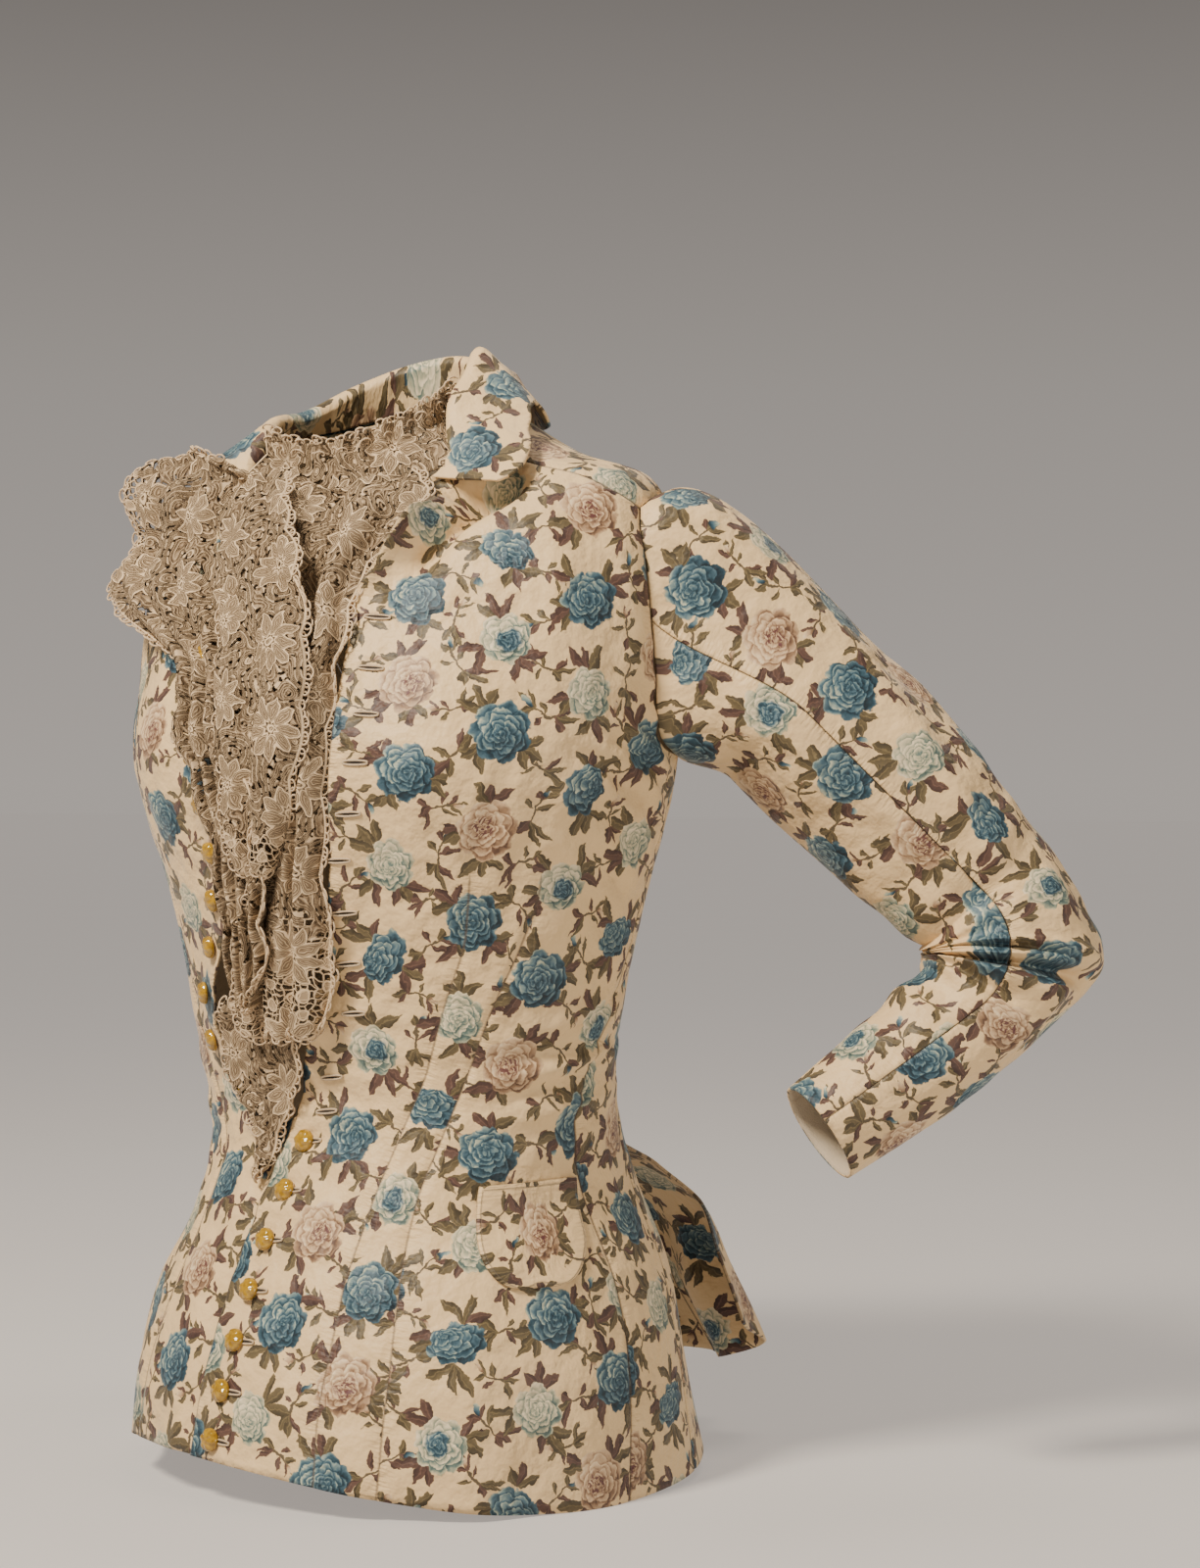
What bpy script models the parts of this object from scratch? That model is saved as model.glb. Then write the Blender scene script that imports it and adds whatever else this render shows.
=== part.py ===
"""Fitted basque jacket of printed cotton, hollow and in its worn pose.

Metres, +Z up. The wearer faces -Y, the wearer's left is +X and the origin is the middle
of the neck base. A place on the body is given by an angle round it, in degrees from the
centre front towards the wearer's left, and by a row of TORSO_ROWS, which may be a fraction.
"""

import math

import bmesh
import bpy
import numpy as np

for leftover in list(bpy.data.objects):
    bpy.data.objects.remove(leftover)

# Cloth and seams
CLOTH = 0.0016
LACE = 0.0011
SEAM = 0.00018
LAP = {"depth": 0.0027, "reach": 7.0, "slope": 4.0}
NECK_SEAM = 0.0021
DART = {"depth": 0.0011, "half_angle": 1.6, "top_row": 6.3, "top_fade": 0.5}
UP = np.array([0.0, 0.0, 1.0])

# The body form, from the hem up. Sizes are from the centre; turn is in degrees.
TORSO_COLUMNS = ("up", "front", "back", "side", "turn", "tilt", "front_up", "back_up", "shift")
TORSO_ROWS = {
    "hem": (-0.550, 0.136, 0.158, 0.150, -12.0, -0.006, 0.016, 0.012, -0.002),
    "low_hip": (-0.500, 0.129, 0.143, 0.149, -9.0, 0.002, 0.006, 0.006, -0.004),
    "hip": (-0.452, 0.115, 0.139, 0.138, -7.0, 0.006, 0.000, 0.000, -0.005),
    "high_hip": (-0.412, 0.100, 0.124, 0.119, -5.0, 0.012, 0.000, 0.000, -0.004),
    "waist": (-0.368, 0.084, 0.090, 0.119, -4.0, 0.014, 0.000, 0.000, 0.000),
    "midriff": (-0.318, 0.092, 0.083, 0.126, -3.0, 0.008, 0.000, 0.000, 0.000),
    "underbust": (-0.258, 0.106, 0.090, 0.135, -1.0, 0.003, 0.000, 0.000, 0.002),
    "bust": (-0.196, 0.117, 0.102, 0.150, 0.0, 0.000, 0.000, 0.000, 0.002),
    "armpit": (-0.150, 0.114, 0.106, 0.155, 2.0, 0.000, 0.000, 0.000, 0.000),
    "chest": (-0.105, 0.101, 0.105, 0.153, 5.0, 0.000, 0.000, 0.004, 0.000),
    "yoke": (-0.066, 0.088, 0.098, 0.151, 7.0, 0.000, -0.008, 0.008, -0.002),
    "shoulder": (-0.036, 0.076, 0.085, 0.141, 8.0, 0.002, -0.020, 0.004, -0.005),
    "slope": (-0.023, 0.066, 0.070, 0.103, 8.0, 0.004, -0.024, 0.008, -0.009),
    "neck": (0.000, 0.060, 0.058, 0.064, 8.0, 0.005, -0.030, 0.012, -0.012),
}
FORM = np.array(list(TORSO_ROWS.values()))
TOP_ROW = len(FORM) - 1.0
BOXINESS = 2.15
BUST = {"angle": 32.0, "row": 7.3, "spread": 19.0, "rise": 0.9, "proud": 0.010}

# Edges and seams as (row, angle) stations, from the hem up
LEFT_EDGE = ((0, -2), (3.5, -3.5), (3.9, -2.5), (4.3, 1), (5.2, 7.5), (5.8, 11), (6.6, 15),
             (7.3, 15), (8.2, 14), (9.0, 11.5), (9.6, 15), (10.5, 20.5), (11.6, 26), (13, 29))
RIGHT_EDGE = ((0, -11), (3.4, -11), (3.8, -8), (4.1, 2), (4.4, 12), (4.75, 22), (5.2, 24),
              (5.7, 17), (6.2, 11.5), (6.6, 9.5), (7.3, 11), (9.0, 15), (11.6, 25), (13, 30))
FIRST_DART = ((0, 28.5), (1, 26), (2, 26), (3, 29.5), (3.8, 31), (4.5, 37), (5.2, 42),
              (5.8, 46), (6.4, 45.5), (8, 42), (10, 38), (11.6, 38), (13, 41))
SECOND_DART = ((0, 42), (1, 40), (2, 39.5), (3, 42), (3.8, 44), (4.6, 50.5), (5.1, 55),
               (5.7, 61.5), (6.1, 64), (6.4, 63.5), (8, 62), (10, 56), (11.6, 49), (13, 52))
SIDE_SEAM = ((0, 98), (1.3, 98), (2.7, 94.5), (3.8, 90), (5.3, 104), (6.3, 110), (7.35, 112))
SIDE_BACK_SEAM = ((0, 124), (3, 120), (3.8, 118), (5.3, 124), (6.5, 126), (7.8, 124))
BACK_SEAM = ((0, 150), (2.9, 150), (3.8, 152), (5.3, 150), (6.5, 148), (7.8, 143),
             (8.6, 137), (9.2, 133), (9.6, 130.2))
ARMHOLE_FRONT = ((7.35, 112), (7.43, 101), (7.6, 94), (7.9, 91.5), (8.3, 90), (9.0, 86.5),
                 (9.6, 83.5), (10.1, 82), (10.4, 83))
ARMHOLE_BACK = ((7.8, 124), (8.2, 127.5), (8.7, 129), (9.2, 129.4), (9.6, 129))
ARMHOLE_CROWN = ((9.6, 129), (9.85, 128), (10.1, 125.5), (10.33, 121), (10.52, 115),
                 (10.63, 108), (10.66, 100), (10.58, 91), (10.4, 83))
SHOULDER_SEAM = ((10.4, 83), (10.55, 77), (10.8, 70), (11.1, 65), (11.6, 62), (12.3, 62), (13, 64))
EDGE_SPRING = ((0, 0.0), (4.1, 0.0), (5.0, 0.004), (8.6, 0.004), (9.4, 0.006), (10.4, 0.009),
               (11.0, 0.007), (11.6, 0.001), (11.8, 0.0), (13, 0.0))
EDGE_SPRING_ANGLE = 6.0
FRONT_NECK_DROP = 1.15
FRONT_NECK_ANGLES = (26.0, 62.0)

# Rows of points shared by the panels, so that both sides of a seam have the same points
SKIRT_ROWS = (0, 0.5, 1, 1.5, 2, 2.5, 3, 3.4, 3.8, 4.2, 4.6, 5.0, 5.5, 6, 6.5, 7.0)
UNDERARM_ROWS = (7.2, 7.35)
BACK_UNDERARM_ROWS = (7.4, 7.8)
ARMHOLE_FRONT_ROWS = (7.43, 7.6, 7.9, 8.3, 8.7, 9.1, 9.5, 9.9, 10.2, 10.4)
ARMHOLE_BACK_ROWS = (8.2, 8.7, 9.2, 9.6)
SHOULDER_ROWS = (10.6, 10.85, 11.2, 11.7, 12.3, 13)
CENTRE_BACK_ROWS = (9.8, 10.02, 10.24, 10.46, 10.68, 10.9, 11.12, 11.34, 11.5, 11.7, 11.95,
                    12.25, 12.6, 13)

# Cells across the panels: a front's three stretches between its edge, darts and side
FRONT_CELLS = (3, 2, 5)
SIDE_CELLS = 3
BACK_CELLS = 6

# The tail over the bustle, below the waist of the two back panels
TAIL_REACH = ((0, 0.047), (1, 0.046), (2, 0.044), (3, 0.028), (3.4, 0.011), (3.75, 0.0))
TAIL = {"top_row": 3.75, "centre_more": 0.30, "flutes": 1.5, "flute": 0.010,
        "edge_rise": 0.056, "centre_rise": 0.020, "vent_angle": 150.0}

# Sleeves: corners of the centre line, then half widths by fraction of the length below the cap
ARMS = {
    "left": {"side": 1, "start": (0.193, 0.082, -0.155), "elbow": (0.295, 0.171, -0.289),
             "cuff": (0.2165, 0.0646, -0.3711)},
    "right": {"side": -1, "start": (-0.194, 0.062, -0.176), "elbow": (-0.206, 0.156, -0.338),
              "cuff": (-0.212, 0.116, -0.458)},
}
SLEEVE_COLUMNS = ("along", "inner_half", "outer_half")
SLEEVE_SIZES = ((0, 0.048, 0.054), (0.2, 0.0465, 0.052), (0.43, 0.041, 0.047), (0.50, 0.043, 0.053),
                (0.565, 0.043, 0.052), (0.63, 0.043, 0.042), (0.70, 0.040, 0.034),
                (0.85, 0.033, 0.031), (1, 0.0275, 0.0275))
SLEEVE = {"elbow_radius": 0.048, "depth": 0.90, "inset": 0.0014,
          "cap_rows": 6, "upper_rows": 4, "elbow_rows": 7, "lower_rows": 4,
          "front_seam": 136.0, "back_seam": 256.0, "upper_columns": 12, "under_columns": 6,
          "head_out": (0.7, 0.0, 1.0), "head_reach": 1.05, "arm_reach": 0.8}

# Collar by angle round the neck: sizes, then drop and sideways swing of the fall in degrees
COLLAR_COLUMNS = ("angle", "stand", "roll", "lean", "fall", "drop", "swing")
COLLAR = ((29, 0.002, 0.002, 0.00, 0.034, 4, 70), (36, 0.003, 0.003, 0.00, 0.046, 11, 66),
          (45, 0.0045, 0.004, 0.00, 0.052, 17, 56), (55, 0.008, 0.0045, 0.05, 0.052, 22, 47),
          (65, 0.014, 0.005, 0.25, 0.048, 26, 40), (80, 0.028, 0.005, 0.35, 0.042, 34, 16),
          (95, 0.026, 0.005, 0.35, 0.037, 44, 0), (115, 0.021, 0.005, 0.32, 0.034, 56, 0),
          (135, 0.019, 0.005, 0.30, 0.033, 62, 0), (180, 0.022, 0.005, 0.20, 0.036, 68, 0),
          (225, 0.018, 0.005, 0.30, 0.036, 58, 0), (265, 0.007, 0.005, 0.30, 0.036, 42, 0),
          (295, 0.004, 0.004, 0.10, 0.028, 34, -20), (315, 0.003, 0.003, 0.00, 0.021, 24, -40),
          (331, 0.002, 0.002, 0.00, 0.016, 12, -52))
COLLAR_STEPS = {"stand": 3, "roll": 4, "fall": 4}

POCKET = {"bottom_row": 2.02, "mouth_row": 3.14, "centre": 75.0, "half_width": 16.0,
          "bottom_share": 0.32, "round_share": 0.5, "lift": 0.0011}

BUTTON = {"radius": 0.0057, "height": 0.0050, "lowest": -0.524, "pitch": 0.0247, "count": 18,
          "closed": 7, "lap_angle": 2.8, "edge_angle": 4.5, "segments": 10, "rings": 3,
          "closed_seat": 0.00045, "open_seat": 0.0008}

# Lace sheets by row: angles of both sides, stand-off of both sides and fold depth
LACE_COLUMNS = ("row", "from_angle", "to_angle", "from_lift", "to_lift", "fold")
RUFFLE_RIGHT = ((12.35, -14, -45, 0.012, 0.014, 0.002), (11.6, -14, -57, 0.012, 0.016, 0.004),
                (10.6, -12, -59, 0.011, 0.014, 0.006), (9.6, -9, -57, 0.011, 0.014, 0.006),
                (8.7, -6, -48, 0.011, 0.014, 0.005), (7.8, -3, -26, 0.011, 0.012, 0.003),
                (7.0, -1, -15, 0.011, 0.012, 0.002), (6.4, -1, -11, 0.011, 0.0115, 0.002))
FALL_LEFT = ((12.25, 0, 20, 0.0060, 0.0050, 0.0012), (11.2, 3, 22, 0.010, 0.008, 0.003),
             (10.2, 6, 17, 0.010, 0.008, 0.003), (9.2, 6, 11, 0.010, 0.008, 0.002),
             (8.0, 8, 12.5, 0.010, 0.008, 0.002), (6.9, 6, 13, 0.010, 0.009, 0.002),
             (6.3, 2, 12, 0.010, 0.010, 0.002), (5.7, -6, 13, 0.0095, 0.010, 0.0015),
             (5.0, -7, 13, 0.009, 0.009, 0.0015))
PLEAT_CENTRE = ((12.1, -20, -7, 0.0137, 0.0137, 0.002), (10.5, -14, -1, 0.019, 0.019, 0.004),
                (9.0, -8, 4, 0.020, 0.020, 0.004), (7.6, -3, 8, 0.019, 0.019, 0.004),
                (6.9, -2, 6, 0.017, 0.017, 0.003), (6.4, -1, 2, 0.015, 0.015, 0.002))
FALL_UNDER = ((5.3, -13, 8, 0.006, 0.0065, 0.0004), (4.7, -16, 9, 0.0065, 0.006, 0.0006),
              (4.2, -12, 3, 0.0060, 0.005, 0.0006), (3.8, -9, -3, 0.004, 0.004, 0.0004),
              (3.45, -7, -4, 0.0035, 0.0035, 0.0002))
NECK_FRILL = {"from_angle": -42.0, "to_angle": 64.0, "inside": 0.0044, "lean": 0.35,
              "height": 0.013, "clear": 0.0008, "skirt_rows": 0.7, "skirt_angles": (38.0, 50.0),
              "skirt_lift": 0.0035, "waves": 5, "wave": 0.0014, "columns": 27, "steps": 4}

COLOURS = {
    "print_cotton": (0.72, 0.66, 0.55, 0.82),
    "lace": (0.62, 0.53, 0.40, 0.90),
    "amber_glass": (0.55, 0.36, 0.05, 0.15),
}


def line_at(stations, place):
    """Value at each place of the smooth line through (place, value) stations, with no overshoot."""
    x, y = np.array(stations, float).T
    place = np.clip(np.asarray(place, float), x[0], x[-1])
    rise = np.diff(y) / np.diff(x)
    bends = np.sign(rise[:-1]) == np.sign(rise[1:])
    both = np.abs(rise[:-1]) + np.abs(rise[1:]) + 1e-12
    middle = np.where(bends, 2 * rise[:-1] * np.abs(rise[1:]) / both, 0.0)
    slope = np.concatenate([rise[:1], middle, rise[-1:]])
    i = np.clip(np.searchsorted(x, place, side="right") - 1, 0, len(x) - 2)
    gap = x[i + 1] - x[i]
    f = (place - x[i]) / gap
    return ((2 * f**3 - 3 * f**2 + 1) * y[i] + (f**3 - 2 * f**2 + f) * gap * slope[i]
            + (3 * f**2 - 2 * f**3) * y[i + 1] + (f**3 - f**2) * gap * slope[i + 1])


def ease(value):
    """0 below 0, 1 above 1 and a smooth step between them."""
    value = np.clip(value, 0, 1)
    return value * value * (3 - 2 * value)


def form_sizes(row):
    """The TORSO_COLUMNS at each row, by a cubic through the table's rows."""
    row = np.asarray(row, float)
    i = np.clip(np.floor(row).astype(int), 0, len(FORM) - 2)
    f = (row - i)[..., None]
    low, high = FORM[i], FORM[i + 1]
    before, after = FORM[np.maximum(i - 1, 0)], FORM[np.minimum(i + 2, len(FORM) - 1)]
    at_low = np.where((i == 0)[..., None], high - low, (high - before) / 2)
    at_high = np.where((i == len(FORM) - 2)[..., None], high - low, (after - low) / 2)
    return ((2 * f**3 - 3 * f**2 + 1) * low + (f**3 - 2 * f**2 + f) * at_low
            + (3 * f**2 - 2 * f**3) * high + (f**3 - f**2) * at_high)


def torso(angle, row):
    """Outside of the bodice: a squared oval ring at each row, turned, tilted and full at the bust."""
    angle, row = np.broadcast_arrays(np.asarray(angle, float), np.asarray(row, float))
    up, front, back, side, turn, tilt, front_up, back_up, shift = np.moveaxis(form_sizes(row), -1, 0)
    s, c = np.sin(np.radians(angle)), np.cos(np.radians(angle))
    away = (angle + 180) % 360 - 180
    proud = sum(np.exp(-((away - k * BUST["angle"]) / BUST["spread"]) ** 2
                       - ((row - BUST["row"]) / BUST["rise"]) ** 2) for k in (1, -1)) * BUST["proud"]
    power = 2 / BOXINESS
    x = np.sign(s) * np.abs(s) ** power * side + s * proud
    y = -np.sign(c) * np.abs(c) ** power * np.where(c > 0, front, back) - c * proud
    z = up + tilt * s + front_up * np.maximum(c, 0) ** 2 + back_up * np.maximum(-c, 0) ** 2
    turn = np.radians(turn)
    return np.stack([x * np.cos(turn) - y * np.sin(turn) + shift, x * np.sin(turn) + y * np.cos(turn), z], -1)


def outward(form, angle, row):
    """Unit normals of a form, pointing away from the body."""
    angle, row = np.broadcast_arrays(np.asarray(angle, float), np.asarray(row, float))
    across = form(angle + 0.2, row) - form(angle - 0.2, row)
    along = form(angle, np.minimum(row + 0.02, TOP_ROW)) - form(angle, np.maximum(row - 0.02, 0))
    normal = np.cross(across, along)
    return normal / np.linalg.norm(normal, axis=-1, keepdims=True)


def left_front(angle, row):
    """The buttonhole side: the body form, pinched at the darts, its free edge sprung out."""
    edge = line_at(LEFT_EDGE, row)
    relief = line_at(EDGE_SPRING, row) * np.exp(-(((angle - edge) / EDGE_SPRING_ANGLE) ** 2))
    relief = relief + dart_pinch(angle, row)
    return torso(angle, row) + outward(torso, angle, row) * relief[..., None]


def right_front(angle, row):
    """The button side: like the other, but its edge sinks under the lap below the waist."""
    edge = -line_at(RIGHT_EDGE, row)
    relief = line_at(EDGE_SPRING, row) * np.exp(-(((angle - edge) / EDGE_SPRING_ANGLE) ** 2))
    relief = relief + dart_pinch(-angle, row)
    under_lap = ease((angle - line_at(LEFT_EDGE, row) + LAP["reach"]) / LAP["slope"])
    relief = relief - LAP["depth"] * under_lap
    return torso(angle, row) + outward(torso, angle, row) * relief[..., None]


def dart_pinch(angle, row):
    """How far the two darts draw the cloth in, below their tops."""
    below = ease((DART["top_row"] - row) / DART["top_fade"])
    lines = sum(np.exp(-(((angle - line_at(dart, row)) / DART["half_angle"]) ** 2))
                for dart in (FIRST_DART, SECOND_DART))
    return -DART["depth"] * below * lines


def tail(angle, row):
    """The back panels' form: the body, thrown out below the waist in flutes over the bustle."""
    angle, row = np.broadcast_arrays(np.asarray(angle, float), np.asarray(row, float))
    edge = np.clip((180 - np.abs((angle + 180) % 360 - 180)) / (180 - TAIL["vent_angle"]), 0, 1.4)
    below = ease((TAIL["top_row"] - row) / TAIL["top_row"])
    reach = line_at(TAIL_REACH, row) * (1 + TAIL["centre_more"] * (1 - edge**2))
    reach = reach + TAIL["flute"] * below * np.cos(2 * math.pi * TAIL["flutes"] * edge)
    turn = np.radians(form_sizes(row)[..., TORSO_COLUMNS.index("turn")])
    rise = below * (TAIL["centre_rise"] + (TAIL["edge_rise"] - TAIL["centre_rise"]) * edge**2)
    return torso(angle, row) + np.stack([-np.sin(turn) * reach, np.cos(turn) * reach, rise], -1)


def solid_sheet(name, outer, inner, material, keep=None):
    """A closed wall between two grids of points; a cell that is not kept is a hole through it."""
    rows, columns = outer.shape[:2]
    keep = np.ones((rows - 1, columns - 1), bool) if keep is None else keep
    points = np.concatenate([outer.reshape(-1, 3), inner.reshape(-1, 3)])
    half = rows * columns
    faces = []

    def quad(a, b, c, d):
        faces.extend(((a, b, c), (a, c, d)))

    padded = np.pad(keep, 1)
    for r in range(rows - 1):
        for c in range(columns - 1):
            if not keep[r, c]:
                continue
            a = r * columns + c
            b, d = a + 1, a + columns
            e = d + 1
            quad(a, b, e, d)
            quad(a + half, d + half, e + half, b + half)
            walls = (((a, d), padded[r + 1, c]), ((e, b), padded[r + 1, c + 2]),
                     ((b, a), padded[r, c + 1]), ((d, e), padded[r + 2, c + 1]))
            for (one, two), beside in walls:
                if not beside:
                    quad(one, two, two + half, one + half)
    mesh = bpy.data.meshes.new(name)
    mesh.from_pydata(points.tolist(), [], faces)
    mesh.validate()
    tidy = bmesh.new()
    tidy.from_mesh(mesh)
    loose = [vertex for vertex in tidy.verts if not vertex.link_faces]
    bmesh.ops.delete(tidy, geom=loose, context="VERTS")
    bmesh.ops.recalc_face_normals(tidy, faces=tidy.faces)
    tidy.to_mesh(mesh)
    tidy.free()
    return add_object(name, mesh, material)


def add_object(name, mesh, material):
    thing = bpy.data.objects.new(name, mesh)
    bpy.context.scene.collection.objects.link(thing)
    mesh.materials.append(MATERIALS[material])
    return thing


def make_materials():
    made = {}
    for name, (red, green, blue, roughness) in COLOURS.items():
        material = bpy.data.materials.new(name)
        material.use_nodes = True
        shader = material.node_tree.nodes["Principled BSDF"]
        shader.inputs["Base Color"].default_value = (red, green, blue, 1.0)
        shader.inputs["Roughness"].default_value = roughness
        made[name] = material
    return made


def between(low, high, share):
    return low + (high - low) * share


def seam_edge(angle, row, towards):
    """The angle a seam allowance short of a seam, on the side given by towards, +1 or -1."""
    reach = np.linalg.norm(torso(angle + 0.5, row) - torso(angle - 0.5, row), axis=-1)
    return angle + towards * SEAM / reach


def body_panel(name, form, side, angles, rows, material="print_cotton"):
    """A wall over a grid of (angle, row) places of a form, for one side of the body."""
    angles = side * angles
    outer = form(angles, rows)
    inner = outer - outward(form, angles, rows) * CLOTH
    return solid_sheet(name, outer, inner, material)


def neck_row(angle, row):
    """Rows above the armhole, squeezed down towards the centre front to make the neckline's dip."""
    low, high = FRONT_NECK_ANGLES
    top = TOP_ROW - FRONT_NECK_DROP * ease((high - np.abs(angle)) / (high - low))
    start = SHOULDER_SEAM[0][0]
    return np.where(row > start, start + (row - start) * (top - start) / (TOP_ROW - start), row)


def front_grid(edge_stations):
    """Places of a front: free edge, two dart lines, then the side seam, armhole and shoulder."""
    rows = np.array(SKIRT_ROWS + UNDERARM_ROWS + ARMHOLE_FRONT_ROWS + SHOULDER_ROWS, float)
    under, shoulder = UNDERARM_ROWS[-1], SHOULDER_SEAM[0][0]
    outer_line = np.where(rows <= under, line_at(SIDE_SEAM, rows),
                          np.where(rows <= shoulder, line_at(ARMHOLE_FRONT, rows), line_at(SHOULDER_SEAM, rows)))
    outer_line = seam_edge(outer_line, rows, -1)
    lines = (line_at(edge_stations, rows), line_at(FIRST_DART, rows), line_at(SECOND_DART, rows), outer_line)
    angles = []
    for low, high, cells in zip(lines[:-1], lines[1:], FRONT_CELLS):
        angles.extend(between(low, high, k / cells) for k in range(cells))
    angles = np.stack(angles + [outer_line], -1)
    return angles, neck_row(angles, rows[:, None] + 0 * angles)


def side_grid():
    """Places of the under-arm panel, whose top edge is the foot of the armhole."""
    left = np.array(SKIRT_ROWS + UNDERARM_ROWS, float)
    right = np.array(SKIRT_ROWS + BACK_UNDERARM_ROWS, float)
    share = np.linspace(0, 1, SIDE_CELLS + 1)
    rows = between(left[:, None], right[:, None], share)
    first = seam_edge(line_at(SIDE_SEAM, left), left, 1)
    last = seam_edge(line_at(SIDE_BACK_SEAM, right), right, -1)
    return between(first[:, None], last[:, None], share), rows


def side_back_grid():
    """Places of the side back, which runs up into the back of the armhole."""
    rows = np.array(SKIRT_ROWS + BACK_UNDERARM_ROWS + ARMHOLE_BACK_ROWS, float)
    first = np.where(rows <= BACK_UNDERARM_ROWS[-1], line_at(SIDE_BACK_SEAM, rows), line_at(ARMHOLE_BACK, rows))
    first = seam_edge(first, rows, 1)
    last = seam_edge(line_at(BACK_SEAM, rows), rows, -1)
    share = np.linspace(0, 1, SIDE_CELLS + 1)
    angles = between(first[:, None], last[:, None], share)
    return angles, rows[:, None] + 0 * angles


def back_grid():
    """Places of a back: side-back seam, then round the armhole and along the shoulder."""
    low = np.array(SKIRT_ROWS + BACK_UNDERARM_ROWS + ARMHOLE_BACK_ROWS, float)
    crown = np.array([row for row, _ in ARMHOLE_CROWN[1:]])
    crown_angle = np.array([angle for _, angle in ARMHOLE_CROWN[1:]])
    high = np.array(SHOULDER_ROWS, float)
    edge_rows = np.concatenate([low, crown, high])
    first = np.concatenate([line_at(BACK_SEAM, low), crown_angle, line_at(SHOULDER_SEAM, high)])
    first = seam_edge(first, edge_rows, 1)
    centre_rows = np.concatenate([low, CENTRE_BACK_ROWS])
    last = seam_edge(180.0 + 0 * first, centre_rows, -1)
    share = np.linspace(0, 1, BACK_CELLS + 1)
    rows = between(edge_rows[:, None], centre_rows[:, None], 1 - (1 - share) ** 3)
    return between(first[:, None], last[:, None], share), rows


def make_bodice():
    for name, side, form, edge in (("left", 1, left_front, LEFT_EDGE), ("right", -1, right_front, RIGHT_EDGE)):
        angles, rows = front_grid(edge)
        body_panel("front_" + name, form, side, angles, rows)
        body_panel("side_" + name, torso, side, *side_grid())
        body_panel("side_back_" + name, torso, side, *side_back_grid())
        body_panel("back_" + name, tail, side, *back_grid())


def armhole_loop(side):
    """Points round one armhole, closed, down the front and up the back."""
    front_rows = np.linspace(ARMHOLE_FRONT[-1][0], ARMHOLE_FRONT[0][0], 60)
    front = [(row, line_at(ARMHOLE_FRONT, row)) for row in front_rows]
    foot = [(between(UNDERARM_ROWS[-1], BACK_UNDERARM_ROWS[-1], k),
             between(SIDE_SEAM[-1][1], SIDE_BACK_SEAM[-1][1], k)) for k in np.linspace(0, 1, 12)]
    back = [(row, line_at(ARMHOLE_BACK, row)) for row in np.linspace(ARMHOLE_BACK[0][0], ARMHOLE_BACK[-1][0], 24)]
    rows, angles = np.array(front + foot + back + list(ARMHOLE_CROWN)).T
    return torso(side * angles, rows)


def unit(vector):
    return vector / np.linalg.norm(vector, axis=-1, keepdims=True)


def arm_rings(arm):
    """Centres, radial and sideways axes and half widths of the rings below the cap."""
    start, elbow, cuff = (np.array(arm[key]) for key in ("start", "elbow", "cuff"))
    first, second = unit(elbow - start), unit(cuff - elbow)
    sideways = unit(np.cross(first, second))
    turn = math.acos(float(first @ second))
    radius = SLEEVE["elbow_radius"]
    back_off = radius * math.tan(turn / 2)
    bend_in, bend_out = elbow - first * back_off, elbow + second * back_off
    pivot = bend_in + np.cross(sideways, first) * radius
    lengths = (np.linalg.norm(bend_in - start), radius * turn, np.linalg.norm(cuff - bend_out))
    centres, radials, alongs = [], [], []
    for k in range(SLEEVE["upper_rows"]):
        share = k / SLEEVE["upper_rows"]
        centres.append(between(start, bend_in, share))
        radials.append(-np.cross(sideways, first))
        alongs.append(lengths[0] * share)
    for k in range(SLEEVE["elbow_rows"] + 1):
        share = k / SLEEVE["elbow_rows"]
        direction = first * math.cos(turn * share) + np.cross(sideways, first) * math.sin(turn * share)
        radials.append(-np.cross(sideways, direction))
        centres.append(pivot + radials[-1] * radius)
        alongs.append(lengths[0] + lengths[1] * share)
    for k in range(1, SLEEVE["lower_rows"] + 1):
        share = k / SLEEVE["lower_rows"]
        centres.append(between(bend_out, cuff, share))
        radials.append(-np.cross(sideways, second))
        alongs.append(lengths[0] + lengths[1] + lengths[2] * share)
    sizes, along = np.array(SLEEVE_SIZES), np.array(alongs) / sum(lengths)
    inner_half, outer_half = (line_at(sizes[:, (0, column)], along)[:, None] for column in (1, 2))
    return np.array(centres), np.array(radials), sideways, inner_half, outer_half, first


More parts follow.
